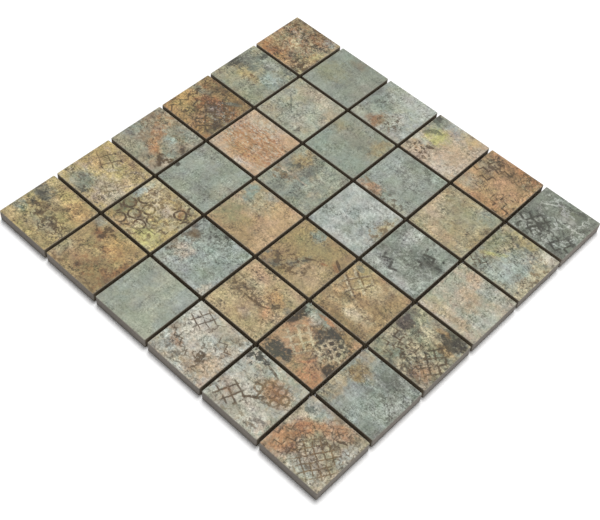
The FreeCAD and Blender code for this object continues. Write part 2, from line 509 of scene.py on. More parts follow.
tileGlazes["tile_r1_c3"] = dict(ground=("mist", "paleSage", "frost"), spread=1.3, mottle=0.7, lay=110, marks=[
    wash("slate", -0.85, 0.15, 0.42, 0.6, 0.6), wash("teal", -0.45, -0.05, 0.6, 0.6, 0.6),
    wash("frost", 0.3, 0.7, 0.8, 0.4, 0.8), wash("bone", 0.25, -0.3, 0.35, 0.3, 0.6),
    wash("rustBrown", -0.15, -0.72, 0.34, 0.38, 0.85), wash("umber", -0.05, -0.6, 0.14, 0.2, 0.6),
    wash("mauve", 0.65, -0.75, 0.35, 0.3, 0.4),
    flecks("bark", 0.28, -0.45, 0.42, 0.32, 0.8, pitch=7.0, line=0.51),
    flecks("umber", -0.15, -0.3, 0.2, 0.15, 0.7, pitch=8.0),
    stroke("umber", 0.42, -0.75, 0.16, 0.05, 0.7, turn=-50), flecks("slate", -0.8, 0.1, 0.45, 0.7, 0.5),
])
tileGlazes["tile_r1_c4"] = dict(ground=("blush", "blush", "peach"), spread=1.4, mottle=0.7, lay=150, marks=[
    wash("mist", -0.25, 0.85, 0.5, 0.3, 0.9), wash("straw", 0.35, 0.8, 0.5, 0.25, 0.5),
    wash("lime", -0.5, 0.12, 0.5, 0.5, 0.9), wash("frost", -0.75, -0.3, 0.35, 0.25, 0.7),
    wash("sage", -0.85, 0.5, 0.35, 0.45, 0.9), wash("slateSage", -0.8, 0.75, 0.35, 0.3, 0.8),
    wash("bone", 0.55, -0.5, 0.6, 0.5, 0.6), wash("peach", 0.4, -0.1, 0.6, 0.5, 0.5),
    stroke("charcoal", -0.95, 0.75, 0.2, 0.2, 0.8, ragged=0.6),
    stroke("slate", -0.82, 0.62, 0.2, 0.07, 0.9, turn=-30),
    stroke("moss", -0.68, 0.22, 0.34, 0.1, 0.9, turn=35, bend=-0.8),
    stroke("bark", -0.3, -0.36, 0.16, 0.07, 0.9, turn=25),
    flecks("bark", -0.5, -0.68, 0.45, 0.35, 0.9, pitch=7.0, line=0.49),
    flecks("taupe", 0.4, 0.1, 0.8, 0.7, 0.25, pitch=4.0),
])
tileGlazes["tile_r1_c5"] = dict(
    ground=("honeySand", "peachClay", "tan"), spread=1.7, mottle=0.9, lay=35, marks=[
    wash("terracotta", 0.1, 0.85, 1.1, 0.3, 0.6), wash("rust", 0.45, 0.92, 0.5, 0.16, 0.6),
    wash("rust", 0.35, -0.85, 0.9, 0.22, 0.5), wash("paleSage", -0.7, 0.35, 0.4, 0.35, 0.55),
    wash("paleSage", -0.7, -0.55, 0.4, 0.3, 0.6), wash("umber", -0.1, 0.35, 0.9, 0.6, 0.5),
    flecks("umber", 0.6, 0.2, 0.7, 0.9, 0.7, pitch=7.0),
    flecks("bark", -0.5, 0.55, 0.7, 0.4, 0.8, pitch=6.0, line=0.51),
    chevron("bark", -0.35, 0.3, 0.75, 0.5, 0.95, turn=30, line=0.16),
    chevron("bark", 0.62, -0.6, 0.5, 0.4, 0.95, turn=-50, line=0.16),
    lattice("umber", 0.65, 0.7, 0.5, 0.35, 0.9, turn=10, pitch=0.34, line=0.14),
    flecks("cream", 0.7, 0.2, 0.4, 0.9, 0.4, pitch=7.0, line=0.54),
    wash("peachClay", 0.3, 0.05, 0.5, 0.3, 1.0, ragged=0.4, soft=0.5),
])
tileGlazes["tile_r1_c6"] = dict(
    ground=("slateSage", "slateSage", "slate"), spread=1.7, mottle=0.7, lay=80, marks=[
    wash("slate", 0.1, -0.25, 1.1, 0.25, 0.9), wash("slate", 0.6, 0.5, 0.35, 0.35, 0.8),
    wash("mossGrey", 0.15, 0.55, 0.35, 0.3, 0.7), wash("slate", 0.6, -0.7, 0.6, 0.35, 0.8),
    wash("frost", -0.55, -0.55, 0.4, 0.3, 0.6), wash("frost", 0.3, 0.3, 0.3, 0.2, 0.5),
    wash("frost", 0.15, -0.55, 0.22, 0.35, 0.6),
    veins("frost", 0.0, -0.05, 1.3, 1.3, 1.0, pitch=1.7, line=0.035),
    veins("charcoal", -0.1, -0.4, 1.1, 0.8, 0.9, pitch=2.0, line=0.035),
    lattice("charcoal", -0.45, -0.45, 0.6, 0.45, 1.0, turn=20),
    stroke("frost", -0.4, 0.55, 0.45, 0.04, 0.9, turn=35),
    lattice("charcoal", 0.6, -0.6, 0.4, 0.3, 1.0, turn=20),
    wash("charcoal", -0.5, -0.4, 0.35, 0.2, 0.6, ragged=1.0), wash("slate", -0.5, 0.1, 0.4, 0.2, 0.6),
    wash("charcoal", 0.3, 0.8, 0.5, 0.12, 0.6), flecks("charcoal", -0.5, -0.6, 0.6, 0.4, 0.9, line=0.51),
])
tileGlazes["tile_r2_c1"] = dict(ground=("sage", "khaki", "sage"), spread=1.3, mottle=0.85, lay=125, marks=[
    wash("olive", 0.1, -0.7, 1.1, 0.45, 0.5), wash("sage", 0.3, -0.5, 0.7, 0.4, 0.5),
    wash("paleSage", 0.0, 0.78, 0.5, 0.22, 0.9), wash("paleSage", -0.72, 0.4, 0.35, 0.25, 0.9),
    wash("ice", 0.58, 0.2, 0.42, 0.36, 1.0), wash("frost", 0.1, 0.72, 0.4, 0.18, 0.5),
    wash("slate", -0.62, 0.5, 0.4, 0.2, 0.7), wash("cream", -0.35, -0.12, 0.5, 0.22, 0.5),
    wash("straw", -0.25, -0.12, 0.6, 0.25, 0.6), wash("ochre", -0.2, -0.15, 0.45, 0.16, 0.5),
    stroke("charcoal", -0.95, -0.02, 0.36, 0.3, 0.95, ragged=0.8, soft=0.8),
    stroke("slate", 0.6, 0.88, 0.4, 0.14, 0.9, ragged=0.8, soft=0.8),
    stroke("charcoal", -0.42, 0.82, 0.14, 0.14, 0.8, ragged=0.6), wash("slate", -0.4, 0.2, 0.46, 0.16, 1.0),
    wash("slate", 0.9, 0.3, 0.12, 0.6, 0.4),
    flecks("umber", 0.0, -0.18, 0.3, 0.16, 0.9, pitch=6.0, line=0.48),
    flecks("slate", -0.2, 0.4, 0.9, 0.4, 0.7, pitch=4.0, line=0.5),
])
tileGlazes["tile_r2_c2"] = dict(
    ground=("paleSage", "khaki", "paleSage"), spread=1.3, mottle=0.75, lay=45, marks=[
    wash("blush", 0.1, 0.75, 0.9, 0.35, 0.6), wash("peach", 0.85, 0.4, 0.25, 0.5, 0.4),
    wash("seaSage", -0.75, 0.25, 0.3, 0.2, 0.6), wash("frost", 0.2, -0.2, 0.9, 0.6, 0.4),
    stroke("slate", -0.42, -0.02, 0.42, 0.04, 0.8, turn=-44),
    flecks("slate", 0.1, 0.1, 1.0, 0.9, 0.6, line=0.56),
    flecks("charcoal", -0.25, -0.15, 0.2, 0.14, 0.6, line=0.48),
    flecks("charcoal", 0.5, -0.72, 0.12, 0.1, 0.7, line=0.45),
])
tileGlazes["tile_r2_c3"] = dict(ground=("sage", "sage", "seaSage"), spread=1.2, mottle=0.6, lay=60, marks=[
    wash("taupe", -0.1, 0.4, 0.8, 0.5, 0.4), wash("ochre", -0.85, 0.35, 0.3, 0.35, 0.4),
    wash("teal", -0.85, -0.4, 0.45, 0.6, 0.8), wash("slateSage", 0.1, 0.0, 0.6, 0.5, 0.5),
    wash("teal", 0.5, -0.6, 0.7, 0.4, 0.7), wash("ochre", 0.78, 0.5, 0.28, 0.5, 0.7),
    flecks("umber", 0.72, 0.45, 0.3, 0.5, 0.35),
    flecks("slate", 0.4, 0.1, 0.2, 0.14, 0.7, pitch=4.0, line=0.46),
])
tileGlazes["tile_r2_c4"] = dict(
    ground=("seaSage", "seaSage", "sage"), spread=1.3, mottle=0.75, lay=100, marks=[
    wash("mist", -0.75, 0.2, 0.5, 0.8, 0.5), flecks("slate", 0.1, 0.12, 0.7, 0.25, 0.8, pitch=4.5),
    flecks("slate", 0.2, -0.5, 0.9, 0.3, 0.6, line=0.55),
    flecks("slate", 0.2, 0.8, 0.9, 0.25, 0.7, line=0.53), wash("terracotta", -0.5, -0.88, 0.42, 0.24, 0.75),
    wash("khaki", 0.6, -0.92, 0.5, 0.16, 0.5), stroke("umber", -0.72, -0.68, 0.24, 0.04, 0.6, turn=-12),
    flecks("bark", 0.1, -0.88, 1.0, 0.2, 0.7, pitch=6.0),
])
tileGlazes["tile_r2_c5"] = dict(ground=("khaki", "sand", "khaki"), spread=1.4, mottle=0.8, lay=140, marks=[
    wash("blush", -0.7, -0.1, 0.4, 0.6, 0.6), wash("peach", -0.92, 0.3, 0.2, 0.6, 0.5),
    wash("sage", 0.6, 0.8, 0.45, 0.35, 0.9), wash("paleSage", 0.3, 0.3, 0.4, 0.4, 0.5),
    wash("ochre", 0.88, -0.15, 0.25, 0.5, 0.8), wash("olive", 0.1, 0.2, 0.7, 0.45, 0.6),
    wash("peach", -0.05, -0.7, 0.5, 0.25, 0.5), flecks("bark", 0.92, 0.1, 0.12, 0.5, 0.7, pitch=4.0),
    flecks("umber", -0.6, 0.6, 0.5, 0.4, 0.4, pitch=4.0),
])
tileGlazes["tile_r2_c6"] = dict(ground=("khaki", "sage", "cream"), spread=1.7, mottle=0.95, lay=15, marks=[
    wash("straw", -0.1, 0.85, 0.7, 0.25, 0.7), wash("bone", 0.7, 0.85, 0.5, 0.3, 0.7),
    wash("olive", -0.7, 0.2, 0.5, 0.5, 0.4), flecks("moss", -0.6, 0.3, 0.7, 0.6, 0.75, line=0.5),
    wash("seaSage", 0.1, -0.15, 0.5, 0.75, 1.0, ragged=0.4, soft=0.6),
    wash("seaSage", -0.1, -0.65, 0.8, 0.35, 0.9, ragged=0.4, soft=0.6),
    wash("ice", 0.25, -0.35, 0.4, 0.5, 0.8), wash("cream", 0.88, -0.2, 0.28, 0.8, 0.8),
    wash("lime", -0.5, -0.15, 0.4, 0.1, 0.7, turn=38),
    chevron("bark", -0.68, -0.7, 0.32, 0.26, 0.95, turn=15, pitch=0.26),
    flecks("umber", 0.8, 0.1, 0.35, 0.6, 0.7), flecks("slate", 0.3, 0.55, 0.6, 0.1, 0.8, line=0.48),
    flecks("bark", -0.85, -0.7, 0.3, 0.25, 0.6),
])
tileGlazes["tile_r3_c1"] = dict(
    ground=("ochre", "rustBrown", "strawSand"), spread=1.9, mottle=1.1, lay=55, marks=[
    wash("umber", 0.0, 0.8, 1.2, 0.3, 0.85), wash("ochre", -0.7, 0.85, 0.3, 0.14, 0.9),
    wash("honey", 0.3, 0.85, 0.3, 0.14, 0.5), wash("rustBrown", 0.3, 0.3, 0.8, 0.25, 0.7),
    wash("terracotta", 0.3, 0.4, 0.3, 0.14, 0.5), wash("honey", -0.75, -0.25, 0.3, 0.4, 0.8),
    wash("honey", -0.5, -0.72, 0.5, 0.35, 0.9), wash("peachClay", 0.15, -0.75, 0.4, 0.35, 0.8),
    wash("mossGrey", -0.75, 0.35, 0.45, 0.18, 0.9), wash("mossGrey", 0.3, -0.15, 0.35, 0.2, 0.6),
    wash("honey", -0.1, -0.8, 1.0, 0.3, 0.7), wash("honey", -0.75, -0.4, 0.35, 0.45, 0.9),
    wash("bark", 0.35, 0.12, 0.6, 0.22, 0.5), wash("charcoal", 0.78, -0.35, 0.3, 0.36, 0.6),
    wash("mauve", 0.35, 0.0, 0.3, 0.2, 0.5), stroke("slate", 0.45, 0.6, 0.4, 0.09, 0.8, turn=35),
    lattice("bark", 0.42, -0.15, 0.6, 0.85, 0.9),
    chevron("bark", -0.66, 0.0, 1.2, 0.3, 0.9, turn=90, pitch=0.36, line=0.16),
    flecks("ink", -0.2, 0.15, 0.5, 0.8, 0.6, pitch=6.0, line=0.54), wash("bark", 0.2, 0.85, 0.9, 0.16, 0.4),
    wash("ink", 0.8, -0.55, 0.26, 0.3, 0.6), wash("ochre", -0.3, -0.5, 0.5, 0.3, 0.5),
    scrawl("bark", 0.3, -0.2, 1.0, 0.8, 0.9, line=0.045),
    flecks("bark", 0.2, -0.35, 1.1, 0.8, 0.6, pitch=7.0, line=0.53),
    flecks("bone", 0.55, 0.0, 0.5, 0.5, 0.4, pitch=7.0, line=0.54),
])
tileGlazes["tile_r3_c2"] = dict(ground=("peach", "blush", "peach"), spread=1.5, mottle=0.65, lay=0, marks=[
    wash("peachClay", 0.0, -0.1, 1.0, 0.7, 0.6), wash("honey", -0.1, -0.6, 0.5, 0.3, 0.7),
    wash("bone", -0.4, 0.6, 0.5, 0.3, 0.4), wash("honey", 0.45, -0.5, 0.35, 0.14, 0.7),
    wash("bone", 0.3, -0.85, 0.32, 0.16, 0.7), wash("blush", -0.9, -0.2, 0.22, 0.5, 0.8),
    comb("terracotta", 0.1, -0.05, 1.3, 0.75, 0.9, pitch=0.13),
    flecks("rust", 0.0, -0.1, 1.0, 0.8, 0.4, pitch=7.0),
    comb("rust", 0.2, 0.1, 0.9, 0.3, 0.6, pitch=0.26, line=0.2),
    flecks("bone", -0.2, 0.2, 1.0, 0.8, 0.5, pitch=8.0, line=0.55),
])
tileGlazes["tile_r3_c3"] = dict(ground=("sage", "sage", "khaki"), spread=1.5, mottle=0.85, lay=90, marks=[
    wash("paleSage", 0.6, 0.55, 0.5, 0.5, 0.5), wash("taupe", -0.6, -0.1, 0.5, 0.3, 0.5),
    wash("ochre", -0.55, 0.6, 0.34, 0.45, 0.9), wash("teal", 0.0, -0.45, 0.22, 0.7, 0.7),
    wash("slate", -0.08, 0.5, 0.16, 0.5, 0.5), wash("slateSage", -0.6, -0.7, 0.6, 0.3, 0.6),
    wash("slateSage", 0.5, -0.3, 0.5, 0.5, 0.3),
    stroke("blush", -0.35, -0.14, 0.6, 0.045, 0.7, ragged=0.15),
    flecks("charcoal", -0.45, 0.3, 0.45, 0.2, 0.7, line=0.5),
    flecks("umber", -0.7, -0.3, 0.5, 0.25, 0.8, line=0.5), flecks("slate", 0.2, 0.0, 1.1, 1.0, 0.5),
])
tileGlazes["tile_r3_c4"] = dict(ground=("frost", "mist", "frost"), spread=1.6, mottle=0.7, lay=40, marks=[
    brush("slate", 0.1, -0.2, 0.6, 0.6, 0.35, turn=-45, pitch=5.0, line=0.52),
    wash("seaSage", -0.8, 0.0, 0.3, 0.5, 0.5), wash("slateSage", 0.0, -0.55, 0.3, 0.18, 0.7),
    wash("frost", 0.1, 0.6, 0.6, 0.4, 0.6), wash("khaki", 0.9, 0.2, 0.25, 0.6, 0.8),
    wash("straw", 0.82, 0.3, 0.14, 0.2, 0.6),
    flecks("umber", 0.85, 0.25, 0.22, 0.6, 0.8, pitch=6.0, line=0.5),
])
tileGlazes["tile_r3_c5"] = dict(
    ground=("slateSage", "seaSage", "slate"), spread=1.7, mottle=0.85, lay=130, marks=[
    wash("frost", -0.5, 0.75, 0.35, 0.4, 0.9), wash("seaSage", 0.6, 0.7, 0.6, 0.3, 0.8),
    wash("frost", 0.4, -0.85, 0.6, 0.25, 0.8), wash("frost", -0.65, -0.7, 0.5, 0.35, 0.5),
    wash("slate", 0.3, 0.15, 0.7, 0.4, 0.85), wash("slate", 0.4, -0.5, 0.3, 0.2, 0.6),
    wash("slate", -0.85, 0.6, 0.2, 0.3, 0.6), veins("frost", 0.2, -0.2, 1.1, 1.0, 0.5),
    chevron("charcoal", 0.45, 0.35, 0.5, 0.42, 1.0, turn=-25, pitch=0.42, line=0.2),
    chevron("charcoal", -0.35, -0.55, 0.45, 0.25, 0.9, turn=-25, pitch=0.42, line=0.2),
    wash("charcoal", 0.55, 0.3, 0.4, 0.26, 0.75, ragged=1.0), wash("charcoal", -0.5, -0.6, 0.3, 0.15, 0.5),
])
tileGlazes["tile_r3_c6"] = dict(
    ground=("blush", "paleSage", "bonePale"), spread=1.5, mottle=0.75, lay=75, marks=[
    wash("frost", 0.35, 0.75, 0.5, 0.25, 0.9), wash("frost", 0.7, -0.1, 0.35, 0.5, 0.6),
    wash("peach", -0.5, 0.8, 0.4, 0.25, 0.6), wash("peach", -0.15, 0.25, 0.45, 0.22, 0.6),
    wash("peachClay", 0.2, -0.1, 0.2, 0.25, 0.4), wash("straw", -0.5, -0.7, 0.5, 0.25, 0.4),
    wash("sandPeach", 0.3, -0.75, 0.5, 0.22, 0.6), flecks("slate", 0.6, 0.2, 0.6, 1.0, 0.5),
])
tileGlazes["tile_r4_c1"] = dict(
    ground=("taupeSage", "taupe", "sage"), spread=1.6, mottle=0.95, lay=50, marks=[
    wash("seaSage", 0.55, 0.8, 0.5, 0.25, 0.6), wash("teal", -0.85, -0.35, 0.3, 0.35, 0.7),
    wash("ice", 0.32, 0.22, 0.2, 0.18, 0.8), wash("teal", 0.75, -0.05, 0.15, 0.2, 0.7),
    wash("khaki", -0.3, -0.8, 0.9, 0.25, 0.7), wash("sandPeach", -0.4, 0.75, 0.32, 0.3, 0.8),
    wash("sandPeach", 0.05, -0.1, 0.75, 0.22, 0.85, turn=-48),
    wash("terracotta", 0.2, -0.3, 0.35, 0.12, 0.7, turn=-48),
    flecks("rust", 0.0, 0.0, 0.8, 0.25, 0.6, turn=-48, line=0.5), flecks("rust", -0.4, 0.75, 0.3, 0.3, 0.5),
    wash("bark", 0.9, 0.22, 0.22, 0.22, 0.8), wash("blush", 0.88, -0.42, 0.22, 0.2, 0.8),
    flecks("bark", 0.75, -0.4, 0.35, 0.35, 0.95, pitch=4.0, line=0.49),
    flecks("umber", -0.3, 0.3, 0.9, 0.8, 0.5),
])
tileGlazes["tile_r4_c2"] = dict(ground=("seaSage", "sage", "seaSage"), spread=1.3, mottle=0.7, lay=95, marks=[
    wash("slate", 0.25, -0.45, 0.7, 0.3, 0.45), wash("slate", 0.2, 0.6, 0.3, 0.4, 0.3),
    wash("khaki", 0.75, -0.1, 0.3, 0.4, 0.4), stroke("charcoal", -0.96, -0.27, 0.11, 0.1, 1.0, ragged=0.15),
    stroke("charcoal", -0.99, 0.7, 0.05, 0.25, 0.8, ragged=0.15),
])
tileGlazes["tile_r4_c3"] = dict(
    ground=("sandPeach", "honeySand", "peach"), spread=1.1, mottle=0.75, lay=30, marks=[
    wash("khaki", -0.5, 0.4, 0.7, 0.7, 0.9), wash("olive", -0.6, -0.45, 0.6, 0.5, 0.9),
    wash("tan", 0.1, -0.8, 0.7, 0.3, 0.9), wash("ochre", -0.1, -0.2, 0.4, 0.25, 0.5),
    wash("teal", -0.7, 0.6, 0.22, 0.42, 1.0, turn=35), wash("mist", -0.2, 0.85, 0.3, 0.2, 0.5),
    wash("peach", 0.7, 0.0, 0.45, 0.7, 0.6),
])
tileGlazes["tile_r4_c4"] = dict(ground=("ochre", "tan", "ochre"), spread=1.4, mottle=0.8, lay=65, marks=[
    wash("sandPeach", 0.55, -0.45, 0.55, 0.65, 0.9), wash("olive", -0.1, 0.45, 0.7, 0.4, 0.5),
    wash("teal", -0.25, 0.88, 0.3, 0.28, 0.9, ragged=1.0),
    wash("rust", 0.85, 0.3, 0.28, 0.12, 0.7, turn=-40),
    stroke("bark", 0.82, 0.42, 0.26, 0.05, 0.9, turn=-35),
    wash("mossGrey", -0.05, -0.25, 0.4, 0.14, 0.7, turn=58),
    stroke("charcoal", -0.02, -0.22, 0.4, 0.06, 0.75, turn=58, bend=0.3, ragged=0.5),
    wash("slate", -0.55, -0.82, 0.34, 0.14, 0.8, turn=32),
    stroke("charcoal", -0.5, -0.8, 0.25, 0.05, 0.6, turn=32, ragged=0.5),
    stroke("bark", 0.1, 0.0, 0.2, 0.04, 0.8, turn=30),
    stroke("rustBrown", 0.5, 0.14, 0.12, 0.04, 0.8, turn=30),
    flecks("bark", -0.2, -0.5, 0.55, 0.5, 0.8, line=0.5),
    flecks("slate", -0.95, -0.75, 0.1, 0.25, 0.9, pitch=4.0, line=0.46),
])
tileGlazes["tile_r4_c5"] = dict(ground=("sand", "tan", "honeySand"), spread=1.5, mottle=0.95, lay=160, marks=[
    wash("straw", -0.5, 0.6, 0.6, 0.4, 0.5), wash("cream", 0.0, 0.4, 0.5, 0.3, 0.5),
    wash("umber", -0.4, -0.2, 0.6, 0.16, 0.7, turn=28), wash("umber", -0.3, -0.88, 0.6, 0.18, 0.7),
    wash("umber", 0.7, -0.9, 0.4, 0.16, 0.7), wash("cream", 0.15, -0.48, 0.45, 0.26, 0.9),
    wash("blush", 0.1, -0.5, 0.25, 0.14, 0.7), wash("tan", 0.8, 0.2, 0.35, 0.6, 0.6),
    lattice("cream", -0.5, 0.35, 0.5, 0.5, 1.0, turn=15, pitch=0.5, line=0.16),
    lattice("umber", -0.46, 0.39, 0.5, 0.5, 0.9, turn=15, pitch=0.5, line=0.1),
    flecks("umber", 0.7, 0.1, 0.5, 0.9, 0.6, pitch=7.0), stroke("slate", -0.75, 0.8, 0.15, 0.1, 0.7),
])
tileGlazes["tile_r4_c6"] = dict(
    ground=("mossGrey", "khaki", "slateSage"), spread=1.9, mottle=1.0, lay=120, marks=[
    wash("cream", 0.2, 0.45, 0.6, 0.24, 0.8), wash("honey", 0.6, 0.35, 0.4, 0.14, 0.7),
    stroke("ink", 0.6, 0.68, 0.5, 0.36, 0.85, ragged=0.8, soft=0.8),
    stroke("inkViolet", -0.8, 0.3, 0.26, 0.45, 0.85, ragged=0.8, soft=0.8),
    wash("cream", -0.02, -0.2, 0.28, 0.4, 1.0), wash("cream", -0.9, -0.15, 0.18, 0.3, 0.95),
    wash("cream", 0.05, -0.78, 0.3, 0.22, 0.95), wash("cream", 0.75, -0.2, 0.36, 0.3, 0.95),
    wash("blush", 0.85, -0.85, 0.25, 0.2, 0.7),
    stroke("charcoal", 0.5, -0.7, 0.6, 0.24, 0.5, ragged=0.6, soft=0.8),
    lattice("frost", 0.5, -0.65, 0.5, 0.25, 0.5, pitch=0.3, line=0.1),
    wash("terracotta", 0.6, -0.6, 0.35, 0.35, 0.6),
    chevron("bark", -0.5, -0.35, 0.55, 0.42, 0.9, turn=-35, line=0.14),
    chevron("cream", -0.35, 0.55, 0.6, 0.24, 0.7, turn=-35, line=0.14),
    flecks("bark", 0.05, 0.0, 0.5, 0.9, 0.6, pitch=6.0, line=0.54),
    lattice("bark", 0.62, -0.1, 0.42, 0.55, 0.9, turn=10, pitch=0.36, line=0.16),
    wash("honey", 0.15, 0.8, 0.25, 0.12, 0.6), scrawl("bark", 0.2, -0.4, 1.0, 0.7, 0.9),
    flecks("ink", 0.0, 0.0, 1.3, 1.3, 0.45, pitch=7.0, line=0.54),
])
tileGlazes["tile_r5_c1"] = dict(
    ground=("strawSand", "straw", "blush"), spread=1.5, mottle=0.95, lay=175, marks=[
    wash("honey", -0.7, 0.3, 0.4, 0.6, 0.4), wash("olive", 0.0, 0.5, 0.7, 0.3, 0.25),
    wash("blush", 0.55, -0.35, 0.65, 0.6, 1.0), wash("peach", 0.75, 0.4, 0.3, 0.3, 0.4),
    wash("tan", 0.2, 0.85, 0.9, 0.16, 0.6), wash("teal", -0.3, -0.6, 0.5, 0.38, 0.7),
    wash("slate", -0.35, -0.5, 0.32, 0.12, 0.6), wash("slate", -0.1, -0.75, 0.24, 0.16, 0.8),
    lattice("bark", -0.4, 0.45, 0.5, 0.4, 0.7, turn=20, pitch=0.44, line=0.1),
    lattice("umber", 0.55, -0.1, 0.4, 0.35, 0.6, turn=20, pitch=0.44, line=0.1),
    wash("umber", 0.5, 0.72, 0.45, 0.08, 0.2),
    scrawl("bark", 0.0, -0.5, 1.0, 0.5, 0.5, pitch=2.6, line=0.035),
    flecks("bark", 0.1, -0.6, 0.8, 0.35, 0.7, pitch=7.0),
    flecks("umber", 0.0, 0.5, 1.1, 0.7, 0.5, pitch=6.0),
    flecks("charcoal", 0.4, -0.88, 0.4, 0.12, 0.9, line=0.48),
])
tileGlazes["tile_r5_c2"] = dict(ground=("cream", "straw", "khaki"), spread=1.5, mottle=0.8, lay=105, marks=[
    wash("lime", 0.5, -0.75, 0.6, 0.35, 0.8), wash("olive", -0.85, -0.3, 0.36, 0.7, 1.0),
    wash("moss", -0.92, -0.5, 0.26, 0.6, 0.7), wash("olive", 0.75, 0.75, 0.35, 0.25, 0.8),
    wash("tan", -0.1, 0.85, 0.5, 0.2, 0.5), wash("honey", -0.6, -0.85, 0.5, 0.2, 0.7),
    wash("blush", 0.05, 0.3, 0.5, 0.4, 1.0), wash("ice", -0.9, 0.35, 0.2, 0.4, 0.9),
    wash("rust", 0.6, 0.58, 0.22, 0.09, 0.9, turn=-40), rings("bark", -0.35, -0.3, 0.72, 0.6, 1.0, turn=20),
    rings("bark", 0.62, 0.6, 0.42, 0.4, 1.0, turn=20),
    chevron("bark", 0.5, -0.5, 0.6, 0.2, 0.9, turn=45, pitch=0.3, line=0.11),
    chevron("umber", -0.6, 0.7, 0.35, 0.22, 0.8, turn=45, pitch=0.3, line=0.11),
    wash("straw", -0.1, 0.1, 0.4, 0.2, 0.4), flecks("umber", 0.0, 0.0, 1.1, 1.1, 0.8, pitch=6.0),
])
tileGlazes["tile_r5_c3"] = dict(
    ground=("seaSage", "mist", "seaSage"), spread=1.5, mottle=0.85, lay=25, marks=[
    wash("teal", 0.3, 0.0, 0.9, 0.8, 0.6), wash("slate", -0.35, 0.78, 0.6, 0.24, 0.6),
    wash("umber", -0.72, 0.38, 0.28, 0.25, 0.8), wash("blush", -0.5, -0.25, 0.35, 0.3, 0.8),
    wash("taupe", -0.92, -0.3, 0.18, 0.3, 0.85), wash("blush", 0.9, -0.8, 0.2, 0.25, 0.6),
    wash("ice", 0.1, 0.45, 0.4, 0.3, 0.6), flecks("charcoal", -0.35, 0.75, 0.8, 0.3, 0.8, pitch=6.0),
    flecks("bark", -0.85, 0.1, 0.3, 0.7, 0.7),
    flecks("slate", 0.3, 0.1, 1.0, 1.0, 0.7, pitch=6.0, line=0.54),
])
tileGlazes["tile_r5_c4"] = dict(
    ground=("sandPeach", "sand", "strawSand"), spread=1.6, mottle=0.95, lay=135, marks=[
    wash("peach", -0.5, 0.7, 0.6, 0.3, 0.7), wash("umber", -0.65, 0.05, 0.5, 0.25, 0.6),
    wash("umber", 0.0, -0.1, 0.5, 0.12, 0.5, turn=5), wash("olive", 0.5, 0.5, 0.4, 0.2, 0.5),
    wash("cream", -0.2, 0.35, 0.5, 0.2, 0.6), wash("honey", 0.35, 0.4, 0.4, 0.3, 0.8),
    wash("terracotta", 0.5, -0.12, 0.22, 0.18, 0.8), wash("slate", 0.92, 0.35, 0.12, 0.16, 0.8),
    wash("strawSand", 0.0, -0.75, 0.7, 0.3, 0.8), wash("blush", 0.1, -0.5, 0.3, 0.16, 0.6),
    stroke("bark", 0.1, -0.08, 0.45, 0.045, 0.85, turn=10, bend=0.3),
    stroke("bark", 0.6, 0.2, 0.16, 0.08, 0.85, turn=60),
    flecks("bark", -0.4, 0.1, 0.8, 0.35, 0.7, pitch=7.0),
    flecks("umber", 0.5, -0.3, 0.7, 0.8, 0.5, pitch=6.0),
])
tileGlazes["tile_r5_c5"] = dict(ground=("tan", "peachClay", "taupe"), spread=1.8, mottle=0.85, lay=85, marks=[
    wash("teal", -0.6, 0.85, 0.8, 0.25, 0.9), wash("sandPeach", 0.35, 0.1, 0.7, 0.45, 0.8),
    wash("honey", 0.35, 0.85, 0.25, 0.15, 0.7), scrawl("bark", 0.4, 0.3, 0.9, 0.7, 1.0),
    flecks("bark", 0.4, 0.4, 0.8, 0.5, 0.8, pitch=6.0),
    stroke("ink", -0.95, 0.5, 0.2, 0.42, 0.9, ragged=0.6),
    stroke("ink", 0.95, -0.25, 0.24, 0.26, 0.9, ragged=0.6),
    stroke("terracotta", 0.7, -0.82, 0.42, 0.32, 0.9, ragged=0.5, soft=0.6),
    stroke("charcoal", 0.35, 0.4, 0.5, 0.42, 0.95, ragged=0.6),
    stroke("charcoal", -0.5, -0.72, 0.45, 0.25, 0.95, ragged=0.6),
    wash("sandPeach", -0.4, 0.05, 0.55, 0.14, 0.9, turn=50),
    wash("terracotta", 0.35, -0.4, 0.35, 0.08, 0.9, turn=50),
    stroke("terracotta", -0.2, 0.88, 0.35, 0.07, 0.9), wash("bone", -0.5, 0.7, 0.26, 0.14, 0.6),
    lattice("cream", -0.35, -0.1, 0.5, 0.5, 0.9, turn=12, pitch=0.4),
    rings("cream", 0.55, 0.2, 0.4, 0.5, 0.9, turn=-20, pitch=0.4, line=0.14),
    chevron("tan", 0.3, -0.75, 0.6, 0.25, 0.8, turn=-8),
    flecks("bark", 0.2, 0.1, 1.0, 0.7, 0.6, pitch=7.0, line=0.54),
])
tileGlazes["tile_r5_c6"] = dict(
    ground=("seaSage", "slateSage", "mist"), spread=1.6, mottle=0.9, lay=10, marks=[
    wash("slate", 0.2, 0.65, 0.52, 0.36, 1.0), wash("slate", 0.75, -0.75, 0.4, 0.3, 0.6),
    wash("teal", -0.1, -0.2, 0.6, 0.5, 0.5), wash("mist", 0.1, -0.35, 0.7, 0.4, 0.4),
    wash("frost", 0.85, 0.25, 0.2, 0.35, 0.5), wash("sand", -0.8, 0.75, 0.3, 0.25, 0.7),
    wash("ochre", -0.6, 0.3, 0.34, 0.34, 1.0), wash("umber", -0.6, 0.22, 0.22, 0.18, 0.5),
    wash("sand", -0.85, -0.5, 0.35, 0.55, 0.8),
    brush("umber", -0.62, 0.3, 0.24, 0.26, 0.5, turn=60, pitch=8.0),
    veins("frost", 0.4, 0.3, 0.9, 0.8, 0.5, pitch=2.2), flecks("slate", 0.5, 0.3, 0.6, 0.8, 0.8),
])
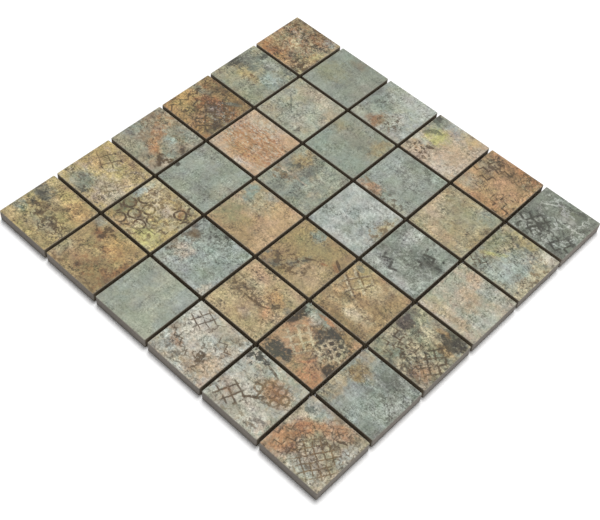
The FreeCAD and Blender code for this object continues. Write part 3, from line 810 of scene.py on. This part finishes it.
tileGlazes["tile_r6_c1"] = dict(
    ground=("ochreSand", "strawSand", "straw"), spread=1.6, mottle=1.0, lay=115, marks=[
    wash("honey", 0.6, 0.55, 0.7, 0.5, 0.7), wash("olive", 0.2, 0.2, 0.6, 0.3, 0.4),
    wash("lime", 0.0, 0.75, 0.5, 0.2, 0.4), wash("slate", -0.7, 0.38, 0.45, 0.34, 0.85),
    wash("charcoal", -0.7, 0.25, 0.32, 0.14, 0.7), wash("teal", -0.8, -0.42, 0.28, 0.22, 0.85),
    wash("umber", -0.35, 0.02, 0.3, 0.14, 0.7), wash("moss", 0.0, -0.08, 0.35, 0.18, 0.7),
    wash("sage", 0.25, -0.4, 0.6, 0.3, 0.5), scrawl("bark", 0.2, -0.3, 1.1, 0.5, 0.9, line=0.04),
    flecks("bark", 0.2, -0.12, 0.9, 0.25, 0.8, pitch=6.0, line=0.51),
    flecks("charcoal", -0.65, 0.15, 0.5, 0.4, 0.7), flecks("umber", 0.2, -0.6, 1.0, 0.5, 0.5, pitch=6.0),
    flecks("umber", 0.3, 0.5, 0.9, 0.5, 0.5, pitch=6.0),
])
tileGlazes["tile_r6_c2"] = dict(
    ground=("ochreSand", "tan", "ochreSand"), spread=1.4, mottle=0.9, lay=145, marks=[
    wash("sage", -0.9, 0.88, 0.35, 0.25, 0.8), wash("khaki", -0.88, -0.5, 0.28, 0.4, 0.7),
    wash("honey", 0.3, 0.5, 0.6, 0.35, 0.8), wash("umber", 0.6, -0.45, 0.7, 0.5, 0.6),
    wash("rustBrown", -0.5, 0.52, 0.2, 0.16, 0.95), wash("umber", -0.35, 0.75, 0.3, 0.14, 0.6),
    wash("rustBrown", 0.92, 0.15, 0.16, 0.32, 0.85), wash("peachClay", -0.4, -0.5, 0.3, 0.25, 0.4),
    stroke("charcoal", -0.1, -0.62, 0.12, 0.06, 0.6),
    flecks("bark", -0.4, 0.68, 0.35, 0.25, 0.9, line=0.49), flecks("bark", 0.2, -0.85, 0.9, 0.2, 0.6),
    flecks("rustBrown", 0.4, -0.2, 0.8, 0.7, 0.5),
])
tileGlazes["tile_r6_c3"] = dict(ground=("paleSage", "seaSage", "sage"), spread=1.1, mottle=0.6, lay=5, marks=[
    wash("mist", 0.8, 0.6, 0.35, 0.5, 0.6), wash("sage", 0.1, -0.8, 0.9, 0.3, 0.5),
    wash("sage", 0.0, 0.1, 0.3, 0.3, 0.3),
    flecks("slate", -0.2, -0.35, 0.2, 0.15, 0.4, pitch=4.0, line=0.48),
])
tileGlazes["tile_r6_c4"] = dict(
    ground=("bonePale", "frost", "blush"), spread=1.5, mottle=0.75, lay=165, marks=[
    wash("bone", -0.5, 0.3, 0.6, 0.5, 0.6), wash("frost", 0.1, 0.1, 0.3, 0.3, 0.7),
    wash("khaki", 0.15, 0.65, 0.6, 0.3, 0.6), wash("peach", 0.75, -0.4, 0.35, 0.6, 0.7),
    wash("honeySand", 0.2, -0.65, 0.4, 0.22, 0.6), wash("rust", -0.55, -0.35, 0.4, 0.13, 0.7, turn=-20),
    wash("taupe", -0.7, -0.85, 0.5, 0.2, 0.3),
    chevron("bark", -0.45, -0.35, 0.55, 0.26, 0.8, turn=-20, line=0.12),
    wash("umber", 0.7, 0.75, 0.24, 0.12, 0.5),
    chevron("bark", 0.55, 0.35, 0.42, 0.3, 0.8, turn=-20, line=0.12),
    lattice("bark", -0.5, 0.58, 0.42, 0.34, 0.85, turn=25, pitch=0.34, line=0.12),
    wash("bark", 0.3, -0.78, 0.3, 0.1, 0.4), wash("umber", -0.85, -0.05, 0.12, 0.24, 0.5),
    scrawl("bark", 0.1, 0.0, 1.2, 1.1, 0.8, pitch=1.7, line=0.02),
    flecks("bark", -0.2, -0.75, 1.0, 0.3, 0.55, pitch=6.0, line=0.53),
    flecks("bark", 0.3, -0.3, 0.3, 0.15, 0.9, line=0.5),
    flecks("umber", 0.5, 0.0, 0.6, 1.0, 0.35, pitch=6.0),
])
tileGlazes["tile_r6_c5"] = dict(ground=("paleSage", "frost", "blush"), spread=1.5, mottle=0.7, lay=45, marks=[
    wash("blush", 0.6, 0.25, 0.5, 0.3, 0.8), wash("bone", 0.15, -0.5, 0.65, 0.6, 0.8),
    wash("bone", -0.5, -0.05, 0.5, 0.5, 0.6), wash("taupe", -0.3, -0.75, 0.8, 0.2, 0.35, turn=8),
    wash("peachClay", 0.35, 0.35, 0.45, 0.34, 0.9), wash("rustBrown", -0.7, -0.35, 0.34, 0.22, 0.45),
    rings("umber", 0.38, 0.3, 0.6, 0.45, 0.9, turn=15, pitch=0.4, line=0.13),
    lattice("bark", -0.5, -0.5, 0.55, 0.38, 0.9, turn=25, pitch=0.36, line=0.15),
    wash("rustBrown", 0.4, 0.35, 0.32, 0.2, 0.5), wash("rustBrown", -0.45, -0.55, 0.26, 0.15, 0.3),
    brush("bark", 0.75, -0.6, 0.32, 0.2, 0.6, turn=15, line=0.51),
    brush("bark", -0.75, 0.2, 0.3, 0.2, 0.6, turn=10, line=0.48),
    scrawl("ink", 0.3, 0.1, 0.9, 0.5, 0.5, pitch=2.4, line=0.03),
    stroke("bark", 0.1, -0.15, 0.4, 0.05, 0.9, turn=40, ragged=0.4),
    stroke("bark", -0.1, 0.75, 0.3, 0.05, 0.85, turn=-15), stroke("umber", -0.6, 0.88, 0.2, 0.03, 0.9),
    flecks("charcoal", -0.75, 0.75, 0.4, 0.3, 0.95, pitch=6.0, line=0.49),
    flecks("umber", 0.1, -0.8, 0.8, 0.25, 0.5, pitch=6.0),
])
tileGlazes["tile_r6_c6"] = dict(ground=("khaki", "blush", "taupe"), spread=1.8, mottle=0.9, lay=70, marks=[
    wash("mist", -0.5, 0.75, 0.6, 0.3, 0.8), wash("mist", 0.85, 0.2, 0.2, 0.5, 0.8),
    wash("frost", 0.2, -0.75, 0.7, 0.25, 0.7), wash("mist", 0.3, -0.2, 0.4, 0.3, 0.25),
    wash("terracotta", 0.2, 0.65, 0.5, 0.28, 0.9, turn=30),
    wash("terracotta", -0.45, 0.15, 0.65, 0.26, 1.0, turn=48),
    wash("terracotta", -0.75, -0.6, 0.38, 0.55, 0.95), wash("rust", -0.45, -0.4, 0.22, 0.45, 0.75, turn=20),
    stroke("slate", -0.78, 0.62, 0.13, 0.12, 0.9, ragged=0.5),
    stroke("bark", 0.5, 0.5, 0.2, 0.045, 0.9, turn=20),
    lattice("umber", 0.3, -0.3, 0.75, 0.65, 0.9, turn=12, pitch=0.3, line=0.15),
    chevron("bark", -0.5, -0.4, 0.45, 0.5, 0.8, turn=60, line=0.12),
    scrawl("bark", 0.2, 0.0, 1.1, 1.0, 0.85, line=0.04),
    flecks("bark", 0.3, 0.1, 0.9, 0.4, 0.5, pitch=7.0, line=0.54),
])


# The tile: a rounded square block, its arris rolled over, with a ribbed recess in the back. The
# lines are how many edges of its grid lie in each band, from the middle to a side.
tileForm = {
    "side": 48 * mm, "thickness": 8.5 * mm, "cornerRadius": 0.8 * mm, "arris": 0.5 * mm,
    "coreLines": 12, "draftLines": 1, "rimLines": 3, "cornerLines": 6, "levels": 5,
    "recessBorder": 4.0 * mm, "recessDepth": 0.5 * mm, "recessDraft": 0.3 * mm,
    "ribs": 7, "ribPitch": 5.0 * mm, "ribWidth": 1.8 * mm, "ribEnd": 1.5 * mm, "ribShort": 0.1 * mm,
    "ribCrest": 0.7, "ribDraft": 0.1 * mm,
    "reliefDepth": 0.07 * mm, "reliefScale": 150.0, "reliefStart": 1.2 * mm, "reliefFull": 4.0 * mm,
    "reliefGrain": (3.0, 0.5), "smoothAngle": math.radians(40), "slack": 0.01 * mm, "outermost": 0.999,
}
linesPerHalf = sum(tileForm[band + "Lines"] for band in ("core", "draft", "rim", "corner"))


def position(tree):
    return wire(tree, "GeometryNodeInputPosition")


def shapeNode(kind, shape, **changes):
    # The next step for a shape: the kind of geometry node, and what goes into its other inputs
    inputs = {label.capitalize(): value for label, value in changes.items()}
    return wire(shape.tree, "GeometryNode" + kind, {"Geometry": shape, **inputs})


def laidOut(points, shape, **choice):
    return wire(points.tree, "GeometryNodeInstanceOnPoints", {"Points": points, "Instance": shape, **choice})


def joined(first, *others):
    node = addNode(first.tree, "GeometryNodeJoinGeometry")
    for shape in (first, *others):
        feed(node.inputs[0], shape)
    return Wire(node)


def inRow(tree, count, start, step):
    inputs = {"Count": count, "Start Location": start, "Offset": step}
    return wire(tree, "GeometryNodeMeshLine", inputs, mode="OFFSET")


def spreadLines(share, half, given):
    # From even grid lines to lines that crowd together round the corners and at the recess
    size = abs(share)
    rim = given["Recess Border"] - given["Corner Radius"]
    core = half - given["Recess Border"] - tileForm["recessDraft"]
    start = 0.0
    ramps = []
    for band, reach in (("core", core), ("draft", tileForm["recessDraft"]), ("rim", rim)):
        end = start + tileForm[band + "Lines"] / linesPerHalf
        ramps.append(mapRange(size, start, end, 0.0, reach, smooth=False))
        start = end
    turn = maths("SINE", mapRange(size, start, 1.0, 0.0, math.pi / 2, smooth=False))
    place = ramps[0] + ramps[1] + ramps[2] + turn * given["Corner Radius"]
    return place * maths("SIGN", share), core


def makeTileTree():
    tree, given, result = newGroup("pressedTile", "GeometryNodeTree", {
        "Side": tileForm["side"], "Thickness": tileForm["thickness"], "Arris": tileForm["arris"],
        "Corner Radius": tileForm["cornerRadius"], "Recess Border": tileForm["recessBorder"],
        "Recess Depth": tileForm["recessDepth"], "Ribs": tileForm["ribs"], "Relief": tileForm["reliefDepth"],
        "Seed": 0.0, "Foot": "Vector", "Glaze": "Material", "Body": "Material",
    }, {"Geometry": "Geometry"})
    thickness, arris = given["Thickness"], given["Arris"]
    acrossLines = 2 * linesPerHalf + 1
    block = wire(tree, "GeometryNodeMeshCube", {
        "Size": (2.0, 2.0, 2.0), "Vertices X": acrossLines, "Vertices Y": acrossLines,
        "Vertices Z": tileForm["levels"],
    })
    u, v, w = separated(position(tree))
    half = given["Side"] * 0.5
    x, core = spreadLines(u, half, given)
    y, core = spreadLines(v, half, given)
    ring = larger(abs(x), abs(y))
    inward = half - ring

    # Round the upright corners: what lies past the straight part swings onto an arc
    straight = half - given["Corner Radius"]
    back = straight * -1.0
    inner = combined(*[larger(maths("MINIMUM", way, straight), back) for way in (x, y)])
    past = combined(x, y) - inner
    pastX, pastY, pastZ = separated(abs(past))
    outline = inner + maths("NORMALIZE", past) * larger(pastX, pastY)

    # Heights of the face, the sides and the back
    short = larger(arris - inward, 0.0)
    drop = arris - maths("SQRT", arris ** 2.0 - short ** 2.0)
    seeded = outline + combined(given["Seed"], given["Seed"])
    dents = noise(seeded, tileForm["reliefScale"], *tileForm["reliefGrain"])
    relief = mapRange(inward, tileForm["reliefStart"], tileForm["reliefFull"]) * (dents * given["Relief"])
    inRecess = ring < core + tileForm["slack"]
    isFace = w > tileForm["outermost"]
    isUnder = w < -tileForm["outermost"]
    isSide = 1.0 - (isFace + isUnder)
    side = (w + 1.0) * 0.5 * (thickness - arris)
    face = thickness - drop - relief
    under = inRecess * given["Recess Depth"]
    height = isFace * face + isUnder * under + isSide * side
    outX, outY, outZ = separated(outline)
    shaped = shapeNode("SetPosition", block, position=combined(outX, outY, height))

    # Ribs across the recess, a little short of the back
    ribLength = core * 2.0 - 2 * tileForm["ribEnd"]
    ribSize = combined(tileForm["ribWidth"], ribLength, given["Recess Depth"])
    ribX, ribY, ribZ = separated(position(tree))
    draft = tileForm["ribDraft"]
    slim = mapRange(ribZ, -draft, draft, tileForm["ribCrest"], 1.0, smooth=False)
    rib = shapeNode("SetPosition", wire(tree, "GeometryNodeMeshCube", {"Size": ribSize}),
                position=combined(ribX * slim, ribY, ribZ))
    firstRib = (given["Ribs"] - 1.0) * (-0.5 * tileForm["ribPitch"])
    ribLevel = given["Recess Depth"] * 0.5 + tileForm["ribShort"]
    row = inRow(tree, given["Ribs"], combined(firstRib, 0.0, ribLevel), (tileForm["ribPitch"], 0.0, 0.0))
    whole = joined(laidOut(row, rib), shaped)

    # Smooth over the rolled arris and the corners, sharp at the back
    solid = shapeNode("RealizeInstances", shapeNode("Transform", whole, translation=given["Foot"]))
    smooth = wire(tree, "GeometryNodeSetShadeSmooth", {"Geometry": solid, "Shade Smooth": True})
    bends = wire(tree, "GeometryNodeInputMeshEdgeAngle") > tileForm["smoothAngle"]
    crisp = wire(tree, "GeometryNodeSetShadeSmooth", {
        "Geometry": smooth, "Selection": bends, "Shade Smooth": False,
    }, domain="EDGE")
    footX, footY, footZ = separated(given["Foot"])
    atX, atY, atZ = separated(position(tree))
    onTop = atZ > footZ + (thickness - arris)
    allBody = shapeNode("SetMaterial", crisp, material=given["Body"])
    feed(result["Geometry"], shapeNode("SetMaterial", allBody, selection=onTop, material=given["Glaze"]))
    return tree


def growPiece(name, tree, values):
    # Works a tree out on an empty mesh and keeps what it makes as a plain mesh
    blank = bpy.data.objects.new(name + "_blank", bpy.data.meshes.new(name + "_blank"))
    bpy.context.scene.collection.objects.link(blank)
    modifier = blank.modifiers.new("form", "NODES")
    modifier.node_group = tree
    for item in tree.interface.items_tree:
        if item.in_out == "INPUT" and item.name in values:
            modifier[item.identifier] = values[item.name]
    graph = bpy.context.evaluated_depsgraph_get()
    mesh = bpy.data.meshes.new_from_object(
        blank.evaluated_get(graph), preserve_all_data_layers=True, depsgraph=graph)
    mesh.name = name
    blank.modifiers.remove(modifier)
    bpy.data.objects.remove(blank)
    piece = bpy.data.objects.new(name, mesh)
    bpy.context.scene.collection.objects.link(piece)
    return piece


def standFor(piece, node):
    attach(piece, "root")
    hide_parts(node)


# How every glaze meets the light, and how thin it gets over the arris, where the body shows in a paler rim
# colour that is partly painted highlight
glazeLook = {
    "swell": (-0.3, 0.3), "rough": (0.58, 0.8), "specular": 0.3, "bump": 0.35, "bumpDepth": 0.12 * mm,
    "thinFrom": 0.985, "thinTo": 1.005, "bareAndHighlight": 0.6, "waverScale": 9.0, "waver": 0.02,
}


def makeGlaze(node, recipe, number, centre, half):
    material, shader, place = newMaterial("glaze_" + node)
    tree = place.tree
    place = wire(tree, "ShaderNodeMapping", {
        "Vector": place, "Location": [-level / half for level in centre], "Scale": [1 / half] * 3,
    })
    main, second, third = map(tint, recipe["ground"])
    colour = wire(tree, "ShaderNodeGroup", {
        "Place": place, "Seed": number * 3.7, "Main": main, "Second": second, "Third": third,
        "Spread": recipe["spread"],
    }, node_tree=groundGroup)
    for index, (kind, inputs) in enumerate(recipe["marks"]):
        seed = number * 2.3 + index * 7.1
        inputs = {"Under": colour, "Place": place, "Seed": seed, **inputs}
        colour = wire(tree, "ShaderNodeGroup", inputs, node_tree=markGroups[kind])
    texture = addNode(tree, "ShaderNodeGroup", {
        "Place": place, "Seed": number * 5.3, "Colour": colour, "Mottle": recipe["mottle"],
        "Lay": math.radians(recipe["lay"]),
    }, node_tree=textureGroup)
    height = Wire(texture, "Height")
    u, v, w = separated(place)
    # Along the arris the glaze gives way to a paler rim: partly the body where the glaze thins, partly
    # painted highlight
    edge = larger(abs(u), abs(v)) + noise(place, glazeLook["waverScale"]) * glazeLook["waver"]
    thin = mapRange(edge, glazeLook["thinFrom"], glazeLook["thinTo"], 0.0, glazeLook["bareAndHighlight"])
    dress(shader, {
        "Base Color": mixColour(thin, Wire(texture, "Colour"), tint("rimBodyHighlight")),
        "Roughness": mapRange(height, *glazeLook["swell"], *glazeLook["rough"], smooth=False),
        "Specular IOR Level": glazeLook["specular"],
    }, height, glazeLook)
    return material


# Unglazed body on the sides and the back: grey, fine grained, with painted shade darkening it towards the
# foot, and painted shade, darker and browner, where tile faces tile in the joints
biscuitLook = {
    "grain": 900.0, "grainLight": (0.7, 0.6), "pores": 260.0, "poreEdge": (0.6, 0.72), "poreShare": 0.4,
    "firingScale": 14.0, "firings": 0.7, "footStart": 0.5 * mm, "footTop": 5.0 * mm, "footShade": 0.72,
    "jointShade": 0.55, "edgeSkin": 0.5 * mm, "roughness": 0.85, "specular": 0.3, "bump": 0.5,
    "bumpDepth": 0.1 * mm,
}


def makeBiscuit():
    material, shader, place = newMaterial("pressedBody")
    grain = noise(place, biscuitLook["grain"], 5.0, 0.7)
    pores = noise(place, biscuitLook["pores"])
    x, y, z = separated(place)
    least, more = biscuitLook["grainLight"]
    # Painted shade: the sides darken towards the foot, where they meet the floor
    low = mapRange(z, biscuitLook["footStart"], biscuitLook["footTop"], biscuitLook["footShade"], 1.0)
    # No two tiles came out of the kiln quite alike
    firing = (noise(place, biscuitLook["firingScale"], 1.0, 0.5) - 0.5) * biscuitLook["firings"] + 1.0
    colour = scaled(tint("biscuit")[:3], (grain * more + least) * low * firing)
    pored = mapRange(pores, *biscuitLook["poreEdge"], 0.0, biscuitLook["poreShare"])
    colour = mixColour(pored, colour, tint("umber"))
    # Painted shade: the sides that face another tile across a joint are darkened and browned, the sheet's
    # outer sides are not
    skin = cadBox[1].x - biscuitLook["edgeSkin"]
    out = larger(abs(x), abs(y))
    inJoint = mapRange(out, skin - biscuitLook["edgeSkin"], skin, biscuitLook["jointShade"], 0.0)
    dress(shader, {
        "Base Color": mixColour(inJoint, colour, tint("jointShade")), "Roughness": biscuitLook["roughness"],
        "Specular IOR Level": biscuitLook["specular"],
    }, grain, biscuitLook)
    return material


def layTiles():
    tileTree = makeTileTree()
    biscuit = makeBiscuit()
    for number, (node, recipe) in enumerate(tileGlazes.items(), start=1):
        low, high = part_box(node)
        foot = Vector(((low.x + high.x) / 2, (low.y + high.y) / 2, low.z))
        glaze = makeGlaze(node, recipe, number, (foot.x, foot.y, high.z), (high.x - low.x) / 2)
        piece = growPiece("glazed_" + node, tileTree, {
            "Side": high.x - low.x, "Thickness": high.z - low.z, "Foot": foot, "Seed": number * 0.37,
            "Glaze": glaze, "Body": biscuit,
        })
        standFor(piece, node)
    print("tiles laid:", len(tileGlazes))


# Scrim: flat glass yarns in two layers, with a bead of resin at each crossing
scrimForm = {
    "yarnWidth": 0.9 * mm, "yarnThickness": 0.25 * mm, "yarnLength": 298 * mm, "mesh": 6.3 * mm,
    "yarnsEachWay": 48, "profileSides": 8, "stretches": 96, "wander": 0.05 * mm, "wanderScale": 90.0,
    "beadAcross": 1.5 * mm, "beadTall": 0.3 * mm,
}


def makeYarnTree():
    tree, given, result = newGroup("laidYarns", "GeometryNodeTree", {
        "Yarns": scrimForm["yarnsEachWay"], "Spacing": scrimForm["mesh"], "Length": scrimForm["yarnLength"],
        "Width": scrimForm["yarnWidth"], "Thickness": scrimForm["yarnThickness"], "Level": 0.0, "Turn": 0.0,
        "Seed": 0.0, "Beads": 0, "Glass": "Material",
    }, {"Geometry": "Geometry"})
    level = given["Level"]
    strand = wire(tree, "GeometryNodeMeshCylinder", {
        "Vertices": scrimForm["profileSides"], "Side Segments": scrimForm["stretches"],
        "Radius": 1.0, "Depth": 1.0,
    })
    laid = shapeNode("Transform", strand, rotation=(math.pi / 2, 0.0, 0.0))
    narrow = given["Width"] * 0.5 - scrimForm["wander"]
    flat = given["Thickness"] * 0.5
    pressed = shapeNode("Transform", laid, scale=combined(narrow, given["Length"], flat))
    net = (given["Yarns"] - 1.0) * given["Spacing"]
    row = inRow(tree, given["Yarns"], combined(net * -0.5, 0.0, level + flat), combined(given["Spacing"]))
    solid = shapeNode("RealizeInstances", laidOut(row, pressed))
    seeded = position(tree) + combined(given["Seed"], given["Seed"], given["Seed"])
    sway = noise(seeded * (1.0, 1.0, 0.0), scrimForm["wanderScale"], 2.0) - 0.5
    swayed = shapeNode("SetPosition", solid, offset=combined(sway * (2 * scrimForm["wander"])))

    # Resin beads, where the yarns cross
    grid = wire(tree, "GeometryNodeMeshGrid", {
        "Size X": net, "Size Y": net, "Vertices X": given["Yarns"], "Vertices Y": given["Yarns"],
    })
    drop = wire(tree, "GeometryNodeMeshIcoSphere", {"Radius": 1.0, "Subdivisions": 1})
    across, tall = scrimForm["beadAcross"] / 2, scrimForm["beadTall"] / 2
    bead = shapeNode("Transform", drop, scale=(across, across, tall))
    beads = laidOut(grid, bead, Selection=given["Beads"])
    spins = {0: (0.0, 0.0, 0.0), 1: (0.0, 0.0, 6.28)}
    spin = wire(tree, "FunctionNodeRandomValue", spins, data_type="FLOAT_VECTOR")
    spun = wire(tree, "GeometryNodeRotateInstances", {"Instances": beads, "Rotation": spin})
    raised = shapeNode("Transform", spun, translation=combined(0.0, 0.0, level))
    layer = shapeNode("Transform", joined(raised, swayed), rotation=combined(0.0, 0.0, given["Turn"]))
    whole = shapeNode("RealizeInstances", layer)
    feed(result["Geometry"], shapeNode("SetMaterial", whole, material=given["Glass"]))
    return tree


yarnLook = {
    "filaments": 9000.0, "stretch": 0.02, "filamentEdge": (0.35, 0.65), "dirtScale": 60.0,
    "dirtEdge": (0.5, 0.75), "dirt": 0.6, "roughEdge": (0.3, 0.7), "roughness": (0.45, 0.7),
    "sheen": 0.3, "bump": 0.6, "bumpDepth": 0.05 * mm,
}


def makeGlassYarn(name, alongX):
    # Filaments run along the yarn, and dust and adhesive dull it in patches
    material, shader, place = newMaterial(name)
    stretch = yarnLook["stretch"]
    along = place * ((stretch, 1.0, 1.0) if alongX else (1.0, stretch, 1.0))
    filaments = noise(along, yarnLook["filaments"], 2.0)
    dirt = noise(place, yarnLook["dirtScale"], 5.0, 0.65)
    colour = mixColour(mapRange(filaments, *yarnLook["filamentEdge"]), tint("yarn"), tint("bone"))
    dirty = mapRange(dirt, *yarnLook["dirtEdge"], 0.0, yarnLook["dirt"])
    dress(shader, {
        "Base Color": mixColour(dirty, colour, tint("resin")),
        "Roughness": mapRange(dirt, *yarnLook["roughEdge"], *yarnLook["roughness"]),
        "Sheen Weight": yarnLook["sheen"],
    }, filaments, yarnLook)
    return material


def layScrim():
    tree = makeYarnTree()
    layers = {"scrim_warp": (0.0, False), "scrim_weft": (math.pi / 2, True)}
    for seed, (node, (turn, alongX)) in enumerate(layers.items(), start=1):
        low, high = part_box(node)
        size = high - low
        spread, length = (size.y, size.x) if alongX else (size.x, size.y)
        spacing = (spread - scrimForm["yarnWidth"]) / (scrimForm["yarnsEachWay"] - 1)
        piece = growPiece("laid_" + node, tree, {
            "Spacing": spacing, "Length": length, "Thickness": size.z, "Level": low.z, "Turn": turn,
            "Seed": seed * 0.71, "Beads": int(alongX), "Glass": makeGlassYarn("yarn_" + node, alongX),
        })
        standFor(piece, node)
    print("scrim laid")


# Floor, light and camera. A lamp's side is where it shines from: 0 is +Y, 90 is +X.
studio = {
    "floorHalf": 3.0, "floorBounce": 0.75, "floorSeen": 1.18, "worldLight": 0.35,
    "keyLight": {"energy": 2.0, "softness": 27.0, "side": -36.0, "height": 71.0},
    "fillLight": {"energy": 0.36, "softness": 48.0, "side": 84.0, "height": 24.0},
}


def seenRays(tree):
    # 1 for what the camera sees, straight or in a reflection
    path = addNode(tree, "ShaderNodeLightPath")
    camera, glossy, through = [Wire(path, f"Is {kind} Ray") for kind in ("Camera", "Glossy", "Transmission")]
    return larger(larger(camera, glossy), through)


def grey(level):
    return (level, level, level, 1.0)


def addSun(name, energy, softness, side, height):
    lamp = bpy.data.lights.new(name, "SUN")
    lamp.energy = energy
    lamp.angle = math.radians(softness)
    sun = bpy.data.objects.new(name, lamp)
    turn, rise = math.radians(side), math.radians(height)
    towards = Vector((math.sin(turn) * math.cos(rise), math.cos(turn) * math.cos(rise), math.sin(rise)))
    sun.rotation_euler = towards.to_track_quat("Z", "Y").to_euler()
    bpy.context.scene.collection.objects.link(sun)


def setStudio():
    reach = studio["floorHalf"]
    corners = [(-reach, -reach, 0), (reach, -reach, 0), (reach, reach, 0), (-reach, reach, 0)]
    sheet = bpy.data.meshes.new("studioFloor")
    sheet.from_pydata(corners, [], [(0, 1, 2, 3)])
    floor = bpy.data.objects.new("studioFloor", sheet)
    bpy.context.scene.collection.objects.link(floor)
    paper = bpy.data.materials.new("palePaper")
    paper.use_nodes = True
    tree = paper.node_tree
    tree.nodes.clear()
    shade = mixColour(seenRays(tree), grey(studio["floorBounce"]), grey(studio["floorSeen"]))
    matt = wire(tree, "ShaderNodeBsdfDiffuse", {"Color": shade})
    addNode(tree, "ShaderNodeOutputMaterial", {"Surface": matt})
    sheet.materials.append(paper)

    world = bpy.data.worlds.new("studioWorld")
    bpy.context.scene.world = world
    world.use_nodes = True
    lit = mapRange(seenRays(world.node_tree), 0.0, 1.0, studio["worldLight"], 1.0)
    feedAll(world.node_tree.nodes["Background"], {"Color": grey(1.0), "Strength": lit})

    for name in ("keyLight", "fillLight"):
        addSun(name, **studio[name])
    bpy.context.scene.view_settings.view_transform = "Standard"
    print("studio set")


# The photo's camera: where it aims, from which side and height, and how it leans
photoCamera = {
    "aim": (0.0233128, -0.0305042, 0.009), "distance": 0.7805, "azimuth": 38.2847, "elevation": 52.3001,
    "roll": 6.384, "lens": 68.576, "sensor": 36.0, "nearest": 0.01,
}


def placeCamera():
    turn, height, lean = [math.radians(photoCamera[name]) for name in ("azimuth", "elevation", "roll")]
    back = Vector((math.sin(turn) * math.cos(height), -math.cos(turn) * math.cos(height), math.sin(height)))
    level = Vector((math.cos(turn), math.sin(turn), 0.0))
    upright = back.cross(level)
    right = math.cos(lean) * level + math.sin(lean) * upright
    up = back.cross(right)
    lens = bpy.data.cameras.new("photoCamera")
    lens.lens = photoCamera["lens"]
    lens.sensor_width = photoCamera["sensor"]
    lens.clip_start = photoCamera["nearest"]
    camera = bpy.data.objects.new("photoCamera", lens)
    facing = Matrix((right, up, back)).transposed().to_4x4()
    place = Vector(photoCamera["aim"]) + back * photoCamera["distance"]
    camera.matrix_world = Matrix.Translation(place) @ facing
    bpy.context.scene.collection.objects.link(camera)
    bpy.context.scene.camera = camera
    print("camera placed")


setStudio()
placeCamera()
layTiles()
layScrim()
